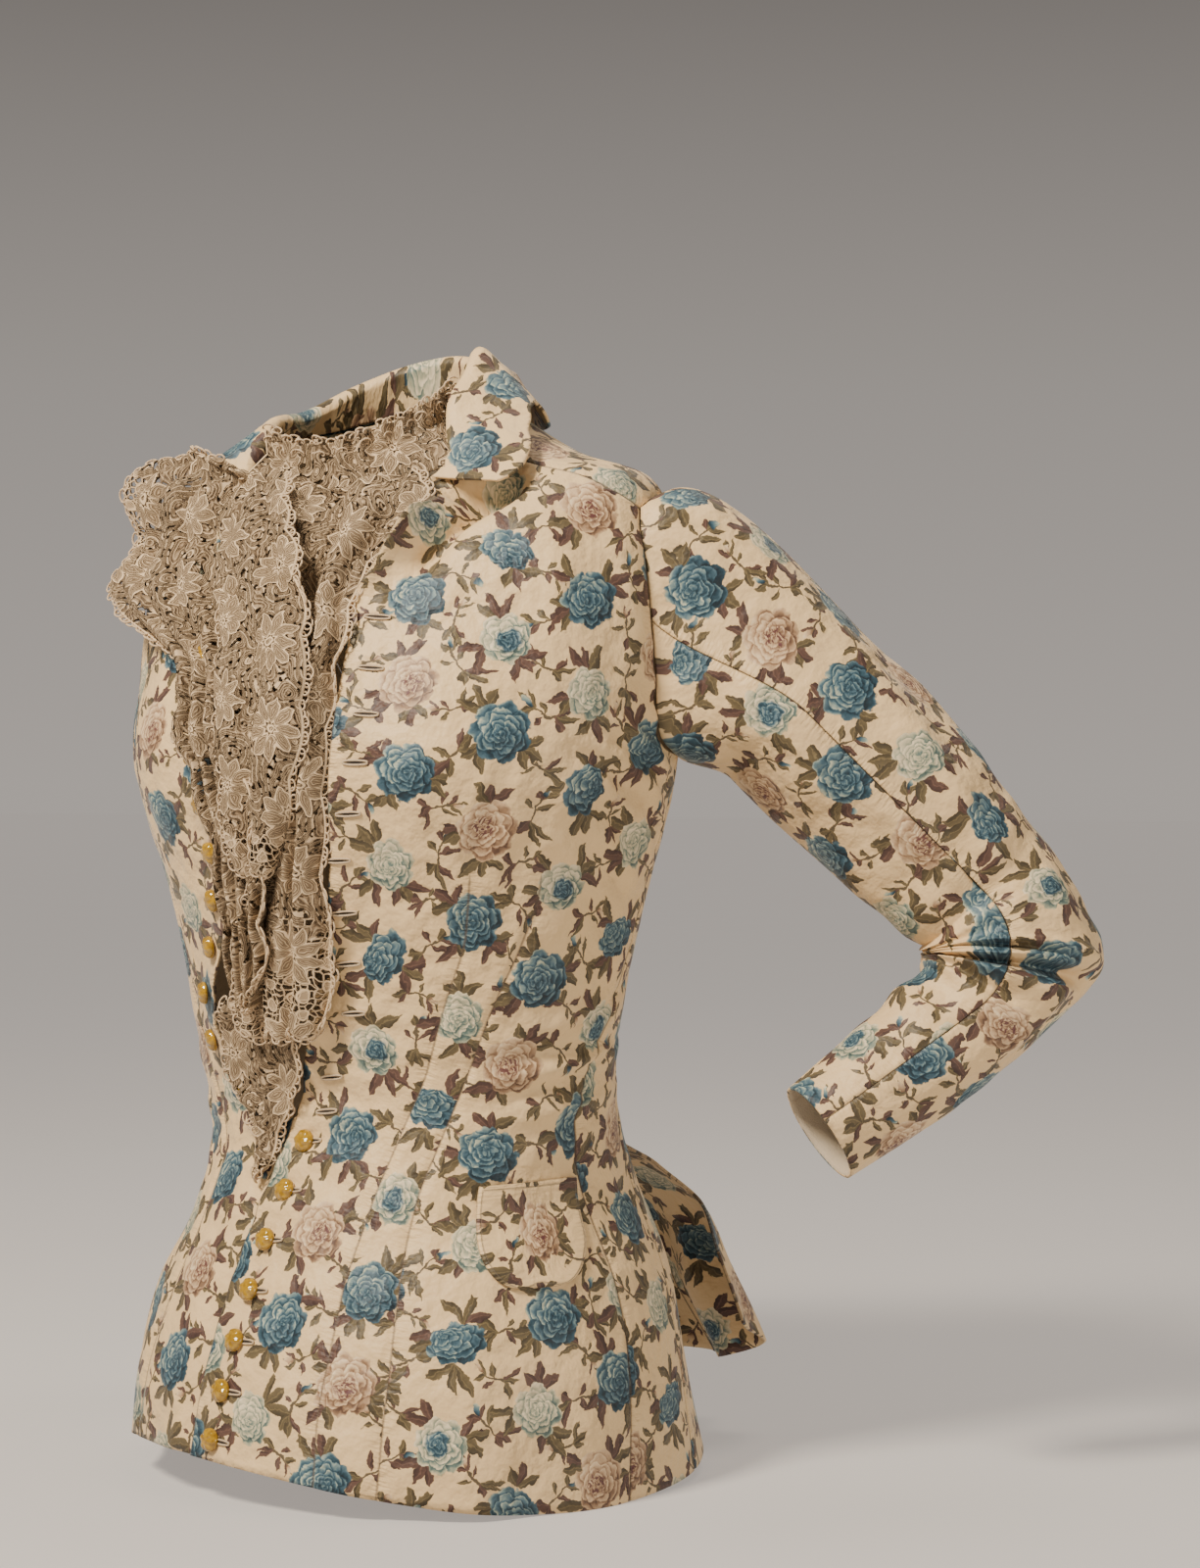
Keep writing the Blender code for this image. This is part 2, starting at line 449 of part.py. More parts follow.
def sleeve_surface(arm, theta, inset):
    """Grid of a sleeve from armhole to cuff at angles theta round it, moved in by inset."""
    centres, radials, sideways, inner_half, outer_half, down = arm_rings(arm)
    c, s = np.cos(theta), np.sin(theta)
    across = np.where(c > 0, outer_half, inner_half) - inset
    deep = (inner_half + outer_half) / 2 * SLEEVE["depth"] - inset
    rings = (centres[:, None] + radials[:, None] * (across * c)[..., None]
             + sideways * (deep * s)[..., None])
    loop = armhole_loop(arm["side"])
    middle = loop.mean(axis=0)
    away = loop - middle
    around = np.unwrap(np.arctan2(away @ sideways, away @ radials[0]))
    order = np.argsort(around)
    start = np.stack([np.interp(theta, around[order], loop[order, axis], period=2 * math.pi)
                      for axis in range(3)], -1)
    start = start - unit(start - middle) * (SLEEVE["inset"] + inset)
    head = unit(np.array(SLEEVE["head_out"]) * (arm["side"], 1, 1))
    top_share = (0.5 + 0.5 * c)[:, None]
    leave = unit(between(down, head, top_share))
    gap = np.linalg.norm(rings[0] - start, axis=-1, keepdims=True)
    cap = []
    for k in range(SLEEVE["cap_rows"]):
        f = k / SLEEVE["cap_rows"]
        cap.append((2 * f**3 - 3 * f**2 + 1) * start + (f**3 - 2 * f**2 + f) * gap * leave * SLEEVE["head_reach"]
                   + (3 * f**2 - 2 * f**3) * rings[0] + (f**3 - f**2) * gap * down * SLEEVE["arm_reach"])
    return np.concatenate([np.array(cap), rings])


def make_sleeves():
    for name, arm in ARMS.items():
        pull = SEAM / SLEEVE["elbow_radius"]
        spans = (("upper", SLEEVE["back_seam"] - 360, SLEEVE["front_seam"], SLEEVE["upper_columns"]),
                 ("under", SLEEVE["front_seam"], SLEEVE["back_seam"], SLEEVE["under_columns"]))
        for half, low, high, columns in spans:
            theta = np.linspace(math.radians(low) + pull, math.radians(high) - pull, columns + 1)
            outer = sleeve_surface(arm, theta, 0.0)
            inner = sleeve_surface(arm, theta, CLOTH)
            solid_sheet(f"sleeve_{name}_{half}", outer, inner, "print_cotton")


def neck_base(angle):
    """Foot of the collar, just off the neckline's edge, and the level way out from it."""
    def edge(turn):
        return torso(turn, neck_row(turn, TOP_ROW + 0 * turn))

    normal = outward(torso, angle, neck_row(angle, TOP_ROW + 0 * angle))
    off = np.cross(normal, unit(edge(angle + 0.5) - edge(angle - 0.5)))
    return edge(angle) + off * NECK_SEAM, unit(normal * (1, 1, 0))


def collar_surface(angle, share):
    """The collar's face: up the leaning stand inside the neck, over the roll and down the fall."""
    angle, share = np.broadcast_arrays(angle, share)
    table = np.array(COLLAR, float)
    stand, roll, lean, fall, drop, swing = (line_at(table[:, (0, column)], angle) for column in range(1, 7))
    foot, way = neck_base((angle + 180) % 360 - 180)
    drop, swing = np.radians(drop), np.radians(swing)
    out = np.stack([way[..., 0] * np.cos(swing) - way[..., 1] * np.sin(swing),
                    way[..., 0] * np.sin(swing) + way[..., 1] * np.cos(swing), 0 * swing], -1)
    arc = math.pi / 2 + drop
    step = share * sum(COLLAR_STEPS.values())
    rise = stand * np.clip(step / COLLAR_STEPS["stand"], 0, 1)
    bend = arc * np.clip((step - COLLAR_STEPS["stand"]) / COLLAR_STEPS["roll"], 0, 1)
    run = fall * np.clip((step - COLLAR_STEPS["stand"] - COLLAR_STEPS["roll"]) / COLLAR_STEPS["fall"], 0, 1)
    level = roll * (1 - np.cos(bend)) + run * np.cos(drop)
    height = rise + roll * np.sin(bend) - run * np.sin(drop)
    return foot + out * level[..., None] - way * (rise * lean)[..., None] + UP * height[..., None]


def grid_normals(points):
    down, across = np.gradient(points, axis=0), np.gradient(points, axis=1)
    return unit(np.cross(across, down))


def make_collar():
    front, back = (grid()[0][-1] for grid in (lambda: front_grid(LEFT_EDGE), back_grid))
    angle = np.concatenate([front[:-1], back[:-1], 360 - back[::-1], 360 - front[-2::-1]])
    steps = np.linspace(0, 1, sum(COLLAR_STEPS.values()) + 1)
    face = collar_surface(angle[:, None], steps[None, :])
    solid_sheet("collar", face, face - grid_normals(face) * CLOTH, "print_cotton")


def make_pocket():
    share = np.linspace(0, 1, 8)
    width = np.where(share < POCKET["round_share"],
                     between(POCKET["bottom_share"], 1.0,
                             np.sqrt(1 - (1 - np.minimum(share / POCKET["round_share"], 1)) ** 2)), 1.0)
    across = np.linspace(-1, 1, 8)
    rows = between(POCKET["bottom_row"], POCKET["mouth_row"], share)[:, None] + 0 * across
    angles = POCKET["centre"] + POCKET["half_width"] * width[:, None] * across
    normal = outward(left_front, angles, rows)
    inner = left_front(angles, rows) + normal * POCKET["lift"]
    solid_sheet("pocket", inner + normal * CLOTH, inner, "print_cotton")


def row_at_height(angle, height):
    """The row at which the form passes a height, at one angle."""
    rows = np.linspace(0, TOP_ROW, 600)
    return float(np.interp(height, torso(angle + 0 * rows, rows)[:, 2], rows))


def make_button(name, foot, normal):
    """A domed button: a lathe of rings over a flat foot, standing on its normal."""
    profile = [(BUTTON["radius"] * 0.9, 0.0), (BUTTON["radius"], BUTTON["height"] * 0.25)]
    for k in range(1, BUTTON["rings"]):
        turn = math.pi / 2 * k / BUTTON["rings"]
        profile.append((BUTTON["radius"] * math.cos(turn), BUTTON["height"] * (0.25 + 0.75 * math.sin(turn))))
    shape = bmesh.new()
    side = unit(np.cross(normal, (0, 0, 1.0)))
    other = np.cross(normal, side)
    rings = []
    for radius, height in profile:
        ring = []
        for k in range(BUTTON["segments"]):
            turn = 2 * math.pi * k / BUTTON["segments"]
            place = foot + normal * height + (side * math.cos(turn) + other * math.sin(turn)) * radius
            ring.append(shape.verts.new(place))
        rings.append(ring)
    for low, high in zip(rings[:-1], rings[1:]):
        for k in range(BUTTON["segments"]):
            after = (k + 1) % BUTTON["segments"]
            shape.faces.new((low[k], low[after], high[after], high[k]))
    shape.faces.new(rings[0])
    crown = shape.verts.new(foot + normal * BUTTON["height"])
    for k in range(BUTTON["segments"]):
        shape.faces.new((rings[-1][k], rings[-1][(k + 1) % BUTTON["segments"]], crown))
    bmesh.ops.recalc_face_normals(shape, faces=shape.faces)
    mesh = bpy.data.meshes.new(name)
    shape.to_mesh(mesh)
    shape.free()
    add_object(name, mesh, "amber_glass")


def make_buttons():
    """Buttons up the button side; the lowest seven have come through the lap's buttonholes."""
    for k in range(BUTTON["count"]):
        height = BUTTON["lowest"] + BUTTON["pitch"] * k
        closed = k < BUTTON["closed"]
        form = left_front if closed else right_front
        angle = BUTTON["lap_angle"]
        row = row_at_height(angle, height)
        if not closed:
            for _ in range(3):
                angle = -float(line_at(RIGHT_EDGE, row)) - BUTTON["edge_angle"]
                row = row_at_height(angle, height)
        place = np.array(angle), np.array(row)
        normal = outward(form, *place)
        seat = BUTTON["closed_seat" if closed else "open_seat"]
        make_button(f"button_{k + 1:02d}", form(*place) + normal * seat, normal)


def lace_sheet(name, table, cells, folds, phase, along_length, holes):
    """A lace sheet by LACE_COLUMNS, folded along its fall or across it, with its large gaps cut."""
    table = np.array(table, float)[::-1]
    length, width = cells
    row = np.linspace(table[0, 0], table[-1, 0], length + 1)
    low, high, low_lift, high_lift, fold = (line_at(table[:, (0, column)], row)[:, None] for column in range(1, 6))
    share = np.linspace(0, 1, width + 1)[None, :]
    angle, rows = between(low, high, share), row[:, None] + 0 * share
    down = np.linspace(1, 0, length + 1)[:, None]
    wave = np.cos(2 * math.pi * folds * (down if along_length else share) + phase)
    lift = between(low_lift, high_lift, share) + fold * wave * (share if along_length else 1)
    face = torso(angle, rows) + outward(torso, angle, rows) * lift[..., None]
    keep = np.ones((length, width), bool)
    for r, c in holes:
        keep[r, c] = False
    normals = grid_normals(face)
    solid_sheet(name, face + normals * LACE / 2, face - normals * LACE / 2, "lace", keep)


def spread_holes(cells, every):
    """Cells to cut out of a lace grid, one in each block, none at a border."""
    length, width = cells
    return [(r, c) for r in range(2, length - 2, every[0])
            for c in range(1 + (r // every[0]) % 2, width - 1, every[1])]


def make_jabot():
    sheets = (("lace_ruffle_right", RUFFLE_RIGHT, (24, 11), 3.5, 0.6, True, (4, 4)),
              ("lace_fall_left", FALL_LEFT, (28, 6), 1.5, 0.5, False, (3, 3)),
              ("lace_pleat_centre", PLEAT_CENTRE, (18, 4), 0.5, -1.6, False, (5, 3)),
              ("lace_fall_under", FALL_UNDER, (9, 6), 2.0, 0.0, False, (3, 3)))
    for name, table, cells, folds, phase, along_length, every in sheets:
        lace_sheet(name, table, cells, folds, phase, along_length, spread_holes(cells, every))


def make_neck_frill():
    """A lace edging round the front of the neck: it stands up, and a skirt of it lies on the chest."""
    frill = NECK_FRILL
    low, high = frill["skirt_angles"]
    angle = np.linspace(frill["from_angle"], frill["to_angle"], frill["columns"])[None, :]
    share = np.linspace(0, 1, frill["steps"] + 1)[:, None]
    angle, share = np.broadcast_arrays(angle, share)
    skirt = ease((high - np.abs(angle)) / (high - low))
    row = TOP_ROW - frill["skirt_rows"] * skirt * np.clip(1 - 2 * share, 0, 1)
    way = unit(outward(torso, angle, row) * (1, 1, 0))
    turn = 2 * math.pi * frill["waves"] * (angle - frill["from_angle"]) / (frill["to_angle"] - frill["from_angle"])
    stand = frill["height"] * np.clip(2 * share - 1, 0, 1)
    level = skirt * frill["skirt_lift"] - (1 - skirt) * (frill["inside"] + frill["lean"] * stand)
    level = level + frill["wave"] * share * np.cos(turn) * skirt
    height = frill["clear"] + stand + frill["height"] / 3 * share * (1 - skirt)
    face = torso(angle, row) + way * level[..., None] + UP * height[..., None]
    normals = grid_normals(face)
    solid_sheet("lace_neck_frill", face + normals * LACE / 2, face - normals * LACE / 2, "lace")


MATERIALS = make_materials()
make_bodice()
make_sleeves()
make_collar()
make_pocket()
make_buttons()
make_jabot()
make_neck_frill()
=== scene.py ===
"""Looks of the fitted basque jacket: printed cotton walls, lining, lace jabot and glass buttons.

Metres, +Z up. The wearer faces -Y, the wearer's left is +X and the origin is the middle
of the neck base. A place on the body is given by an angle round it, in degrees from the
centre front towards the wearer's left, and by a row of TORSO_ROWS, which may be a fraction.
"""

import functools
import math

import bpy
import numpy as np
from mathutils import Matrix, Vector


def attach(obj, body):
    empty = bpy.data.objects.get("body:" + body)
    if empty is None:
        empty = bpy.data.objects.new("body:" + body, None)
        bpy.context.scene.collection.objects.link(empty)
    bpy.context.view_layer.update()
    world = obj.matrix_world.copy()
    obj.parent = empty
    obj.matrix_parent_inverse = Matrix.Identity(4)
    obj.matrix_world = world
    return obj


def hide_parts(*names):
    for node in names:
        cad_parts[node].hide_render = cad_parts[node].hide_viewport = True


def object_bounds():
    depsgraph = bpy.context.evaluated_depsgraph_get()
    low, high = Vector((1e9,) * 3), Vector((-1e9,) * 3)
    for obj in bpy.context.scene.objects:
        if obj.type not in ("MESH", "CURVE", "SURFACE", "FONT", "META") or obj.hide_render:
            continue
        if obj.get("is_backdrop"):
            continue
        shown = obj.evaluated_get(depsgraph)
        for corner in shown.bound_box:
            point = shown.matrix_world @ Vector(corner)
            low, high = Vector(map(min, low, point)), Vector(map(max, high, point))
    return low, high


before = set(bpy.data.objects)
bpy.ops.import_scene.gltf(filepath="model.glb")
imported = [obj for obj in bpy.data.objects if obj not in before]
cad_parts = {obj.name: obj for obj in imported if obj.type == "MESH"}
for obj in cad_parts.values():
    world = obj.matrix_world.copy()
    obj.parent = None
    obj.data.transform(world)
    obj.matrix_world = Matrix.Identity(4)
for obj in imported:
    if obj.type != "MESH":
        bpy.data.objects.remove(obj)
cad_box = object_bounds()

# Cloth and seams
CLOTH = 0.0016
LACE = 0.0011
SEAM = 0.00018
LAP = {"depth": 0.0027, "reach": 7.0, "slope": 4.0}
NECK_SEAM = 0.0021
DART = {"depth": 0.0011, "half_angle": 1.6, "top_row": 6.3, "top_fade": 0.5, "past_top": 0.1}
UP = np.array([0.0, 0.0, 1.0])

# Steps for slopes of a form, in degrees and rows, and a number that keeps a division safe
ANGLE_STEP = 0.2
ROW_STEP = 0.02
TINY = 1e-12

# The body form, from the hem up. Sizes are from the centre; turn is in degrees.
TORSO_COLUMNS = ("up", "front", "back", "side", "turn", "tilt", "front_up", "back_up", "shift")
TORSO_ROWS = {
    "hem": (-0.550, 0.136, 0.158, 0.150, -12.0, -0.006, 0.016, 0.012, -0.002),
    "low_hip": (-0.500, 0.129, 0.143, 0.149, -9.0, 0.002, 0.006, 0.006, -0.004),
    "hip": (-0.452, 0.115, 0.139, 0.138, -7.0, 0.006, 0.000, 0.000, -0.005),
    "high_hip": (-0.412, 0.100, 0.124, 0.119, -5.0, 0.012, 0.000, 0.000, -0.004),
    "waist": (-0.368, 0.084, 0.090, 0.119, -4.0, 0.014, 0.000, 0.000, 0.000),
    "midriff": (-0.318, 0.092, 0.083, 0.126, -3.0, 0.008, 0.000, 0.000, 0.000),
    "underbust": (-0.258, 0.106, 0.090, 0.135, -1.0, 0.003, 0.000, 0.000, 0.002),
    "bust": (-0.196, 0.117, 0.102, 0.150, 0.0, 0.000, 0.000, 0.000, 0.002),
    "armpit": (-0.150, 0.114, 0.106, 0.155, 2.0, 0.000, 0.000, 0.000, 0.000),
    "chest": (-0.105, 0.101, 0.105, 0.153, 5.0, 0.000, 0.000, 0.004, 0.000),
    "yoke": (-0.066, 0.088, 0.098, 0.151, 7.0, 0.000, -0.008, 0.008, -0.002),
    "shoulder": (-0.036, 0.076, 0.085, 0.141, 8.0, 0.002, -0.020, 0.004, -0.005),
    "slope": (-0.023, 0.066, 0.070, 0.103, 8.0, 0.004, -0.024, 0.008, -0.009),
    "neck": (0.000, 0.060, 0.058, 0.064, 8.0, 0.005, -0.030, 0.012, -0.012),
}
FORM = np.array(list(TORSO_ROWS.values()))
TOP_ROW = len(FORM) - 1.0
BOXINESS = 2.15
BUST = {"angle": 32.0, "row": 7.3, "spread": 19.0, "rise": 0.9, "proud": 0.010}

# Edges and seams as (row, angle) stations, from the hem up
LEFT_EDGE = ((0, -2), (3.5, -3.5), (3.9, -2.5), (4.3, 1), (5.2, 7.5), (5.8, 11), (6.6, 15),
             (7.3, 15), (8.2, 14), (9.0, 11.5), (9.6, 15), (10.5, 20.5), (11.6, 26), (13, 29))
RIGHT_EDGE = ((0, -11), (3.4, -11), (3.8, -8), (4.1, 2), (4.4, 12), (4.75, 22), (5.2, 24),
              (5.7, 17), (6.2, 11.5), (6.6, 9.5), (7.3, 11), (9.0, 15), (11.6, 25), (13, 30))
FIRST_DART = ((0, 28.5), (1, 26), (2, 26), (3, 29.5), (3.8, 31), (4.5, 37), (5.2, 42),
              (5.8, 46), (6.4, 45.5), (8, 42), (10, 38), (11.6, 38), (13, 41))
SECOND_DART = ((0, 42), (1, 40), (2, 39.5), (3, 42), (3.8, 44), (4.6, 50.5), (5.1, 55),
               (5.7, 61.5), (6.1, 64), (6.4, 63.5), (8, 62), (10, 56), (11.6, 49), (13, 52))
SIDE_SEAM = ((0, 98), (1.3, 98), (2.7, 94.5), (3.8, 90), (5.3, 104), (6.3, 110), (7.35, 112))
SIDE_BACK_SEAM = ((0, 124), (3, 120), (3.8, 118), (5.3, 124), (6.5, 126), (7.8, 124))
BACK_SEAM = ((0, 150), (2.9, 150), (3.8, 152), (5.3, 150), (6.5, 148), (7.8, 143),
             (8.6, 137), (9.2, 133), (9.6, 130.2))
ARMHOLE_FRONT = ((7.35, 112), (7.43, 101), (7.6, 94), (7.9, 91.5), (8.3, 90), (9.0, 86.5),
                 (9.6, 83.5), (10.1, 82), (10.4, 83))
ARMHOLE_BACK = ((7.8, 124), (8.2, 127.5), (8.7, 129), (9.2, 129.4), (9.6, 129))
ARMHOLE_CROWN = ((9.6, 129), (9.85, 128), (10.1, 125.5), (10.33, 121), (10.52, 115),
                 (10.63, 108), (10.66, 100), (10.58, 91), (10.4, 83))
SHOULDER_SEAM = ((10.4, 83), (10.55, 77), (10.8, 70), (11.1, 65), (11.6, 62), (12.3, 62), (13, 64))
EDGE_SPRING = ((0, 0.0), (4.1, 0.0), (5.0, 0.004), (8.6, 0.004), (9.4, 0.006), (10.4, 0.009),
               (11.0, 0.007), (11.6, 0.001), (11.8, 0.0), (13, 0.0))
EDGE_SPRING_ANGLE = 6.0

# The worn left front. Hollow beside the sprung neck edge, at its foot and at its top: depth,
# degrees off the edge and reach; change, start and end are steps along the rows. Then the
# hollow under the collar's flap, whose reach differs below and above, and the edge's ridge.
NECK_HOLLOW = {"foot": (0.0125, 6.5, 3.6), "top": (0.0155, 13.0, 7.0), "change": (10.2, 1.1),
               "start": (9.2, 0.8), "end": (11.9, -0.5)}
FLAP_HOLLOW = {"depth": 0.0075, "row": (11.44, 0.60, 0.27), "angle": (40, 9)}
EDGE_RIDGE = {"height": 0.0085, "off_edge": (0.3, 1.7), "row": (10.3, 0.9)}

# Ridges of the worn bodice: middle and reach by angle and by row, turn of their sine per row
# and per degree, its phase, and height
DRAGS = {
    "underarm": ((88, 18), (7.0, 1.1), 17.1, 0.38, -22.2, 0.0022),
    "waist": ((82, 30), (4.3, 0.75), 13.0, -0.07, 0.0, 0.0020),
    "lap": ((8, 13), (3.4, 1.9), 12.6, 0.05, 0.0, 0.0013),
    "dart_top": ((50, 12), (6.7, 0.6), -3.3, 0.55, 0.0, 0.0010),
    "ribs": ((20, 10), (5.0, 0.7), 17.0, 0.12, 0.0, 0.0010),
    "chest": ((62, 22), (9.4, 1.3), 1.6, 0.22, 0.0, 0.0018),
}
HEM_FLUTES = {"row": (2.6, -2.6), "angle": (62, 42), "per_row": 0.84, "per_degree": 0.21,
              "phase": 1.0, "height": 0.0024}

# Creases across the waist: row at the side, its rise per degree and depth
WAIST_CREASES = ((4.05, 0.006, 0.0019), (4.36, 0.012, 0.0024), (4.62, 0.004, 0.0017),
                 (4.95, 0.016, 0.0021))
WAIST_CREASE = {"side": 90, "reach": 0.05, "angle": (92, 24)}

# Where the folds stop: degrees before the lap, the lap's top row and rows below the armhole
FOLDS_CLEAR = {"lap_more": 6, "lap_top": 4.6, "armhole_fade": -0.8}
FRONT_NECK_DROP = 1.15
FRONT_NECK_ANGLES = (26.0, 62.0)

# Rows of points shared by the panels, so that both sides of a seam have the same points
SKIRT_ROWS = (0, 0.5, 1, 1.5, 2, 2.5, 3, 3.4, 3.8, 4.2, 4.6, 5.0, 5.5, 6, 6.5, 7.0)
UNDERARM_ROWS = (7.2, 7.35)
BACK_UNDERARM_ROWS = (7.4, 7.8)
ARMHOLE_FRONT_ROWS = (7.43, 7.6, 7.9, 8.3, 8.7, 9.1, 9.5, 9.9, 10.2, 10.4)
ARMHOLE_BACK_ROWS = (8.2, 8.7, 9.2, 9.6)
SHOULDER_ROWS = (10.6, 10.85, 11.2, 11.7, 12.3, 13)
CENTRE_BACK_ROWS = (9.8, 10.02, 10.24, 10.46, 10.68, 10.9, 11.12, 11.34, 11.5, 11.7, 11.95,
                    12.25, 12.6, 13)

# Cells of the coarse cut across each panel, and how many fine cells each is split into
FRONT_CELLS = (3, 2, 5)
SIDE_CELLS = 3
BACK_CELLS = 6
FINE_ROWS = 6
FINE_COLUMNS = 8

# How much closer fine cells sit at a panel's edges, how late a back's rows turn from the
# armhole to the centre, and the row above which a front's strips are joined in the flat
GATHERED = 0.75
BACK_ROWS_POWER = 3
DART_JOIN_ROW = 6

# Rounds and pull that settle the flat pattern, points that look up a height, and a distance
# in metres that is past every fold
RELAXING = {"rounds": 400, "pull": 0.24}
HEIGHT_STEPS = 600
FAR = 1.0

# The tail over the bustle, below the waist of the two back panels
TAIL_REACH = ((0, 0.047), (1, 0.046), (2, 0.044), (3, 0.028), (3.4, 0.011), (3.75, 0.0))
TAIL = {"top_row": 3.75, "centre_more": 0.30, "flutes": 1.5, "flute": 0.010,
        "edge_rise": 0.056, "centre_rise": 0.020, "vent_angle": 150.0, "past_vent": 1.4}

# Cloth sheets: where each is cut from the printed cloth, and how far that moves with its side
CUT_PLACES = {
    "front": ((0.032, 0.034), (-0.019, -0.013)),
    "side": ((0.031, 0.055), (0.020, 0.0)),
    "side_back": ((0.072, 0.018), (-0.010, 0.0)),
    "back": ((0.040, 0.033), (0.012, 0.0)),
    "upper": ((0.020, 0.030), (0.0, 0.0)),
    "under": ((0.060, 0.010), (0.0, 0.0)),
    "collar": ((0.034, 0.012), (0.0, 0.0)),
    "pocket": ((0.009, 0.044), (0.0, 0.0)),
}

# Sleeves: corners of the centre line, then half widths by fraction of the length below the cap
ARMS = {
    "left": {"side": 1, "start": (0.193, 0.082, -0.155), "elbow": (0.295, 0.171, -0.289),
             "cuff": (0.2165, 0.0646, -0.3711)},
    "right": {"side": -1, "start": (-0.194, 0.062, -0.176), "elbow": (-0.206, 0.156, -0.338),
              "cuff": (-0.212, 0.116, -0.458)},
}
SLEEVE_SIZES = ((0, 0.048, 0.054), (0.2, 0.0465, 0.052), (0.43, 0.041, 0.047), (0.50, 0.043, 0.053),
                (0.565, 0.043, 0.052), (0.63, 0.043, 0.042), (0.70, 0.040, 0.034),
                (0.85, 0.033, 0.031), (1, 0.0275, 0.0275))
SLEEVE = {"elbow_radius": 0.048, "depth": 0.90, "inset": 0.0014, "worn_inset": 0.0002,
          "seam_fade": 0.0004, "seam_tightness": 1.6, "fine": 8,
          "cap_rows": 6, "upper_rows": 4, "elbow_rows": 11, "lower_rows": 4,
          "front_seam": 136.0, "back_seam": 256.0, "upper_columns": 12, "under_columns": 6,
          "head_out": (0.9, 0.0, 0.55), "head_reach": 0.85, "head_share": 1.5, "arm_reach": 0.9}

# Points round the armhole that the sleeve head starts from
ARMHOLE_POINTS = {"front": 60, "foot": 12, "back": 24}

# How far the sleeve's outside stands off the plain tube, by fraction of its length
SLEEVE_OUTLINE = ((0.04, 0), (0.14, 0.0030), (0.25, 0.0030), (0.34, -0.0005), (0.40, -0.0018),
                  (0.44, -0.0038), (0.48, -0.0066), (0.505, -0.0060), (0.53, -0.0008),
                  (0.55, 0.0002), (0.575, -0.0060), (0.60, -0.0104), (0.63, -0.0112),
                  (0.67, -0.0088), (0.75, -0.0035), (0.9, -0.0010), (1, 0))

# The elbow's two creases: place along the sleeve, its drift round it, reach on both sides and
# depth, then the swell before it as middle, reach and height
MAIN_CREASE = {"at": 0.567, "drift": 0.010, "reach": (0.0052, 0.0110), "depth": 0.0118,
               "swell": (-0.0150, 0.0080, 0.0042)}
UPPER_CREASE = {"at": 0.540, "drift": 0.023, "reach": (0.0045, 0.0085), "depth": 0.0042,
                "swell": (-0.0110, 0.0075, 0.0030)}

# Ripples of a worn sleeve: middle and reach along it, turn of their sine along it and round
# it, its phase, height, and the share of the height where the weight is nothing
SLEEVE_RIPPLES = {
    "bend": ((0.53, 0.11), 88, 0.0, 0.0, 0.0013, 0.35),
    "slack": ((0.40, 0.10), 60, 1.3, 0.0, 0.0020, 0.40),
    "forearm": ((0.74, 0.10), 64, -0.9, 0.0, 0.0015, 0.35),
    "head": ((0.06, 0.22), 12, 5.0, 0.0, 0.0020, 1.0),
    "upper_arm": ((0.30, 0.30), -7, 3.0, 0.8, 0.0030, 1.0),
}

# Long single folds of the upper arm: turn from the outside, its drift, reach and height; then
# the ridge and valley at the start of the forearm: middle, reach and height
LONG_FOLDS = ((0.933, 1.3, 0.20, 0.0042), (1.333, 1.0, 0.22, -0.0044), (2.133, -0.5, 0.16, 0.0026))
LONG_FOLD_WINDOW = (0.26, 0.24)
LOW_FOLDS = ((0.602, 0.014, 0.0032), (0.634, 0.017, -0.0042))

# Where round the sleeve the folds act, by the cosine of the turn from the outside: windows
# are a bell's middle and reach or a step's start and reach, the others are shares of a height
ELBOW_SHARES = {"low": (-0.25, 0.50), "outline": (0.42, 0.42), "inside_power": 0.7,
                "calm": 0.85, "calm_across": 1.3, "calm_window": (0.56, 0.22),
                "least_bunched": 0.30, "bunched": (-1.0, 0.55), "crease_end": (0.97, -0.42),
                "lean": 1.6, "wobble": 0.5}

# Collar by angle round the neck: sizes, then drop and sideways swing of the fall in degrees
COLLAR_COLUMNS = ("angle", "stand", "roll", "lean", "fall", "drop", "swing")
COLLAR = ((29, 0.002, 0.002, 0.00, 0.0416, 7, 80), (36, 0.003, 0.003, 0.00, 0.0439, 9.6, 74),
          (45, 0.0045, 0.004, 0.00, 0.0443, 17.5, 71), (55, 0.008, 0.0045, 0.05, 0.0465, 27, 68),
          (65, 0.014, 0.005, 0.25, 0.0425, 37, 56), (80, 0.026, 0.005, 0.35, 0.042, 47, 25),
          (95, 0.018, 0.005, 0.30, 0.029, 46, 0), (115, 0.014, 0.005, 0.30, 0.033, 56, 0),
          (135, 0.014, 0.005, 0.28, 0.033, 62, 0), (180, 0.022, 0.005, 0.20, 0.036, 68, 0),
          (225, 0.018, 0.005, 0.30, 0.036, 58, 0), (265, 0.007, 0.005, 0.30, 0.036, 42, 0),
          (295, 0.004, 0.004, 0.10, 0.028, 34, -20), (315, 0.003, 0.003, 0.00, 0.021, 24, -40),
          (331, 0.002, 0.002, 0.00, 0.016, 12, -52))
COLLAR_FLAP = {"reach": 48.0, "blend": 8.0, "off": 0.0025, "off_share": (0.62, 0.38),
               "left": (66.0, -26.0), "right": (296.0, 24.0), "right_share": 0.6,
               "seam_fade": 0.004}
COLLAR_STEPS = {"stand": 3, "roll": 4, "fall": 4}
COLLAR_FINE = {"columns": 6, "rows": 5}

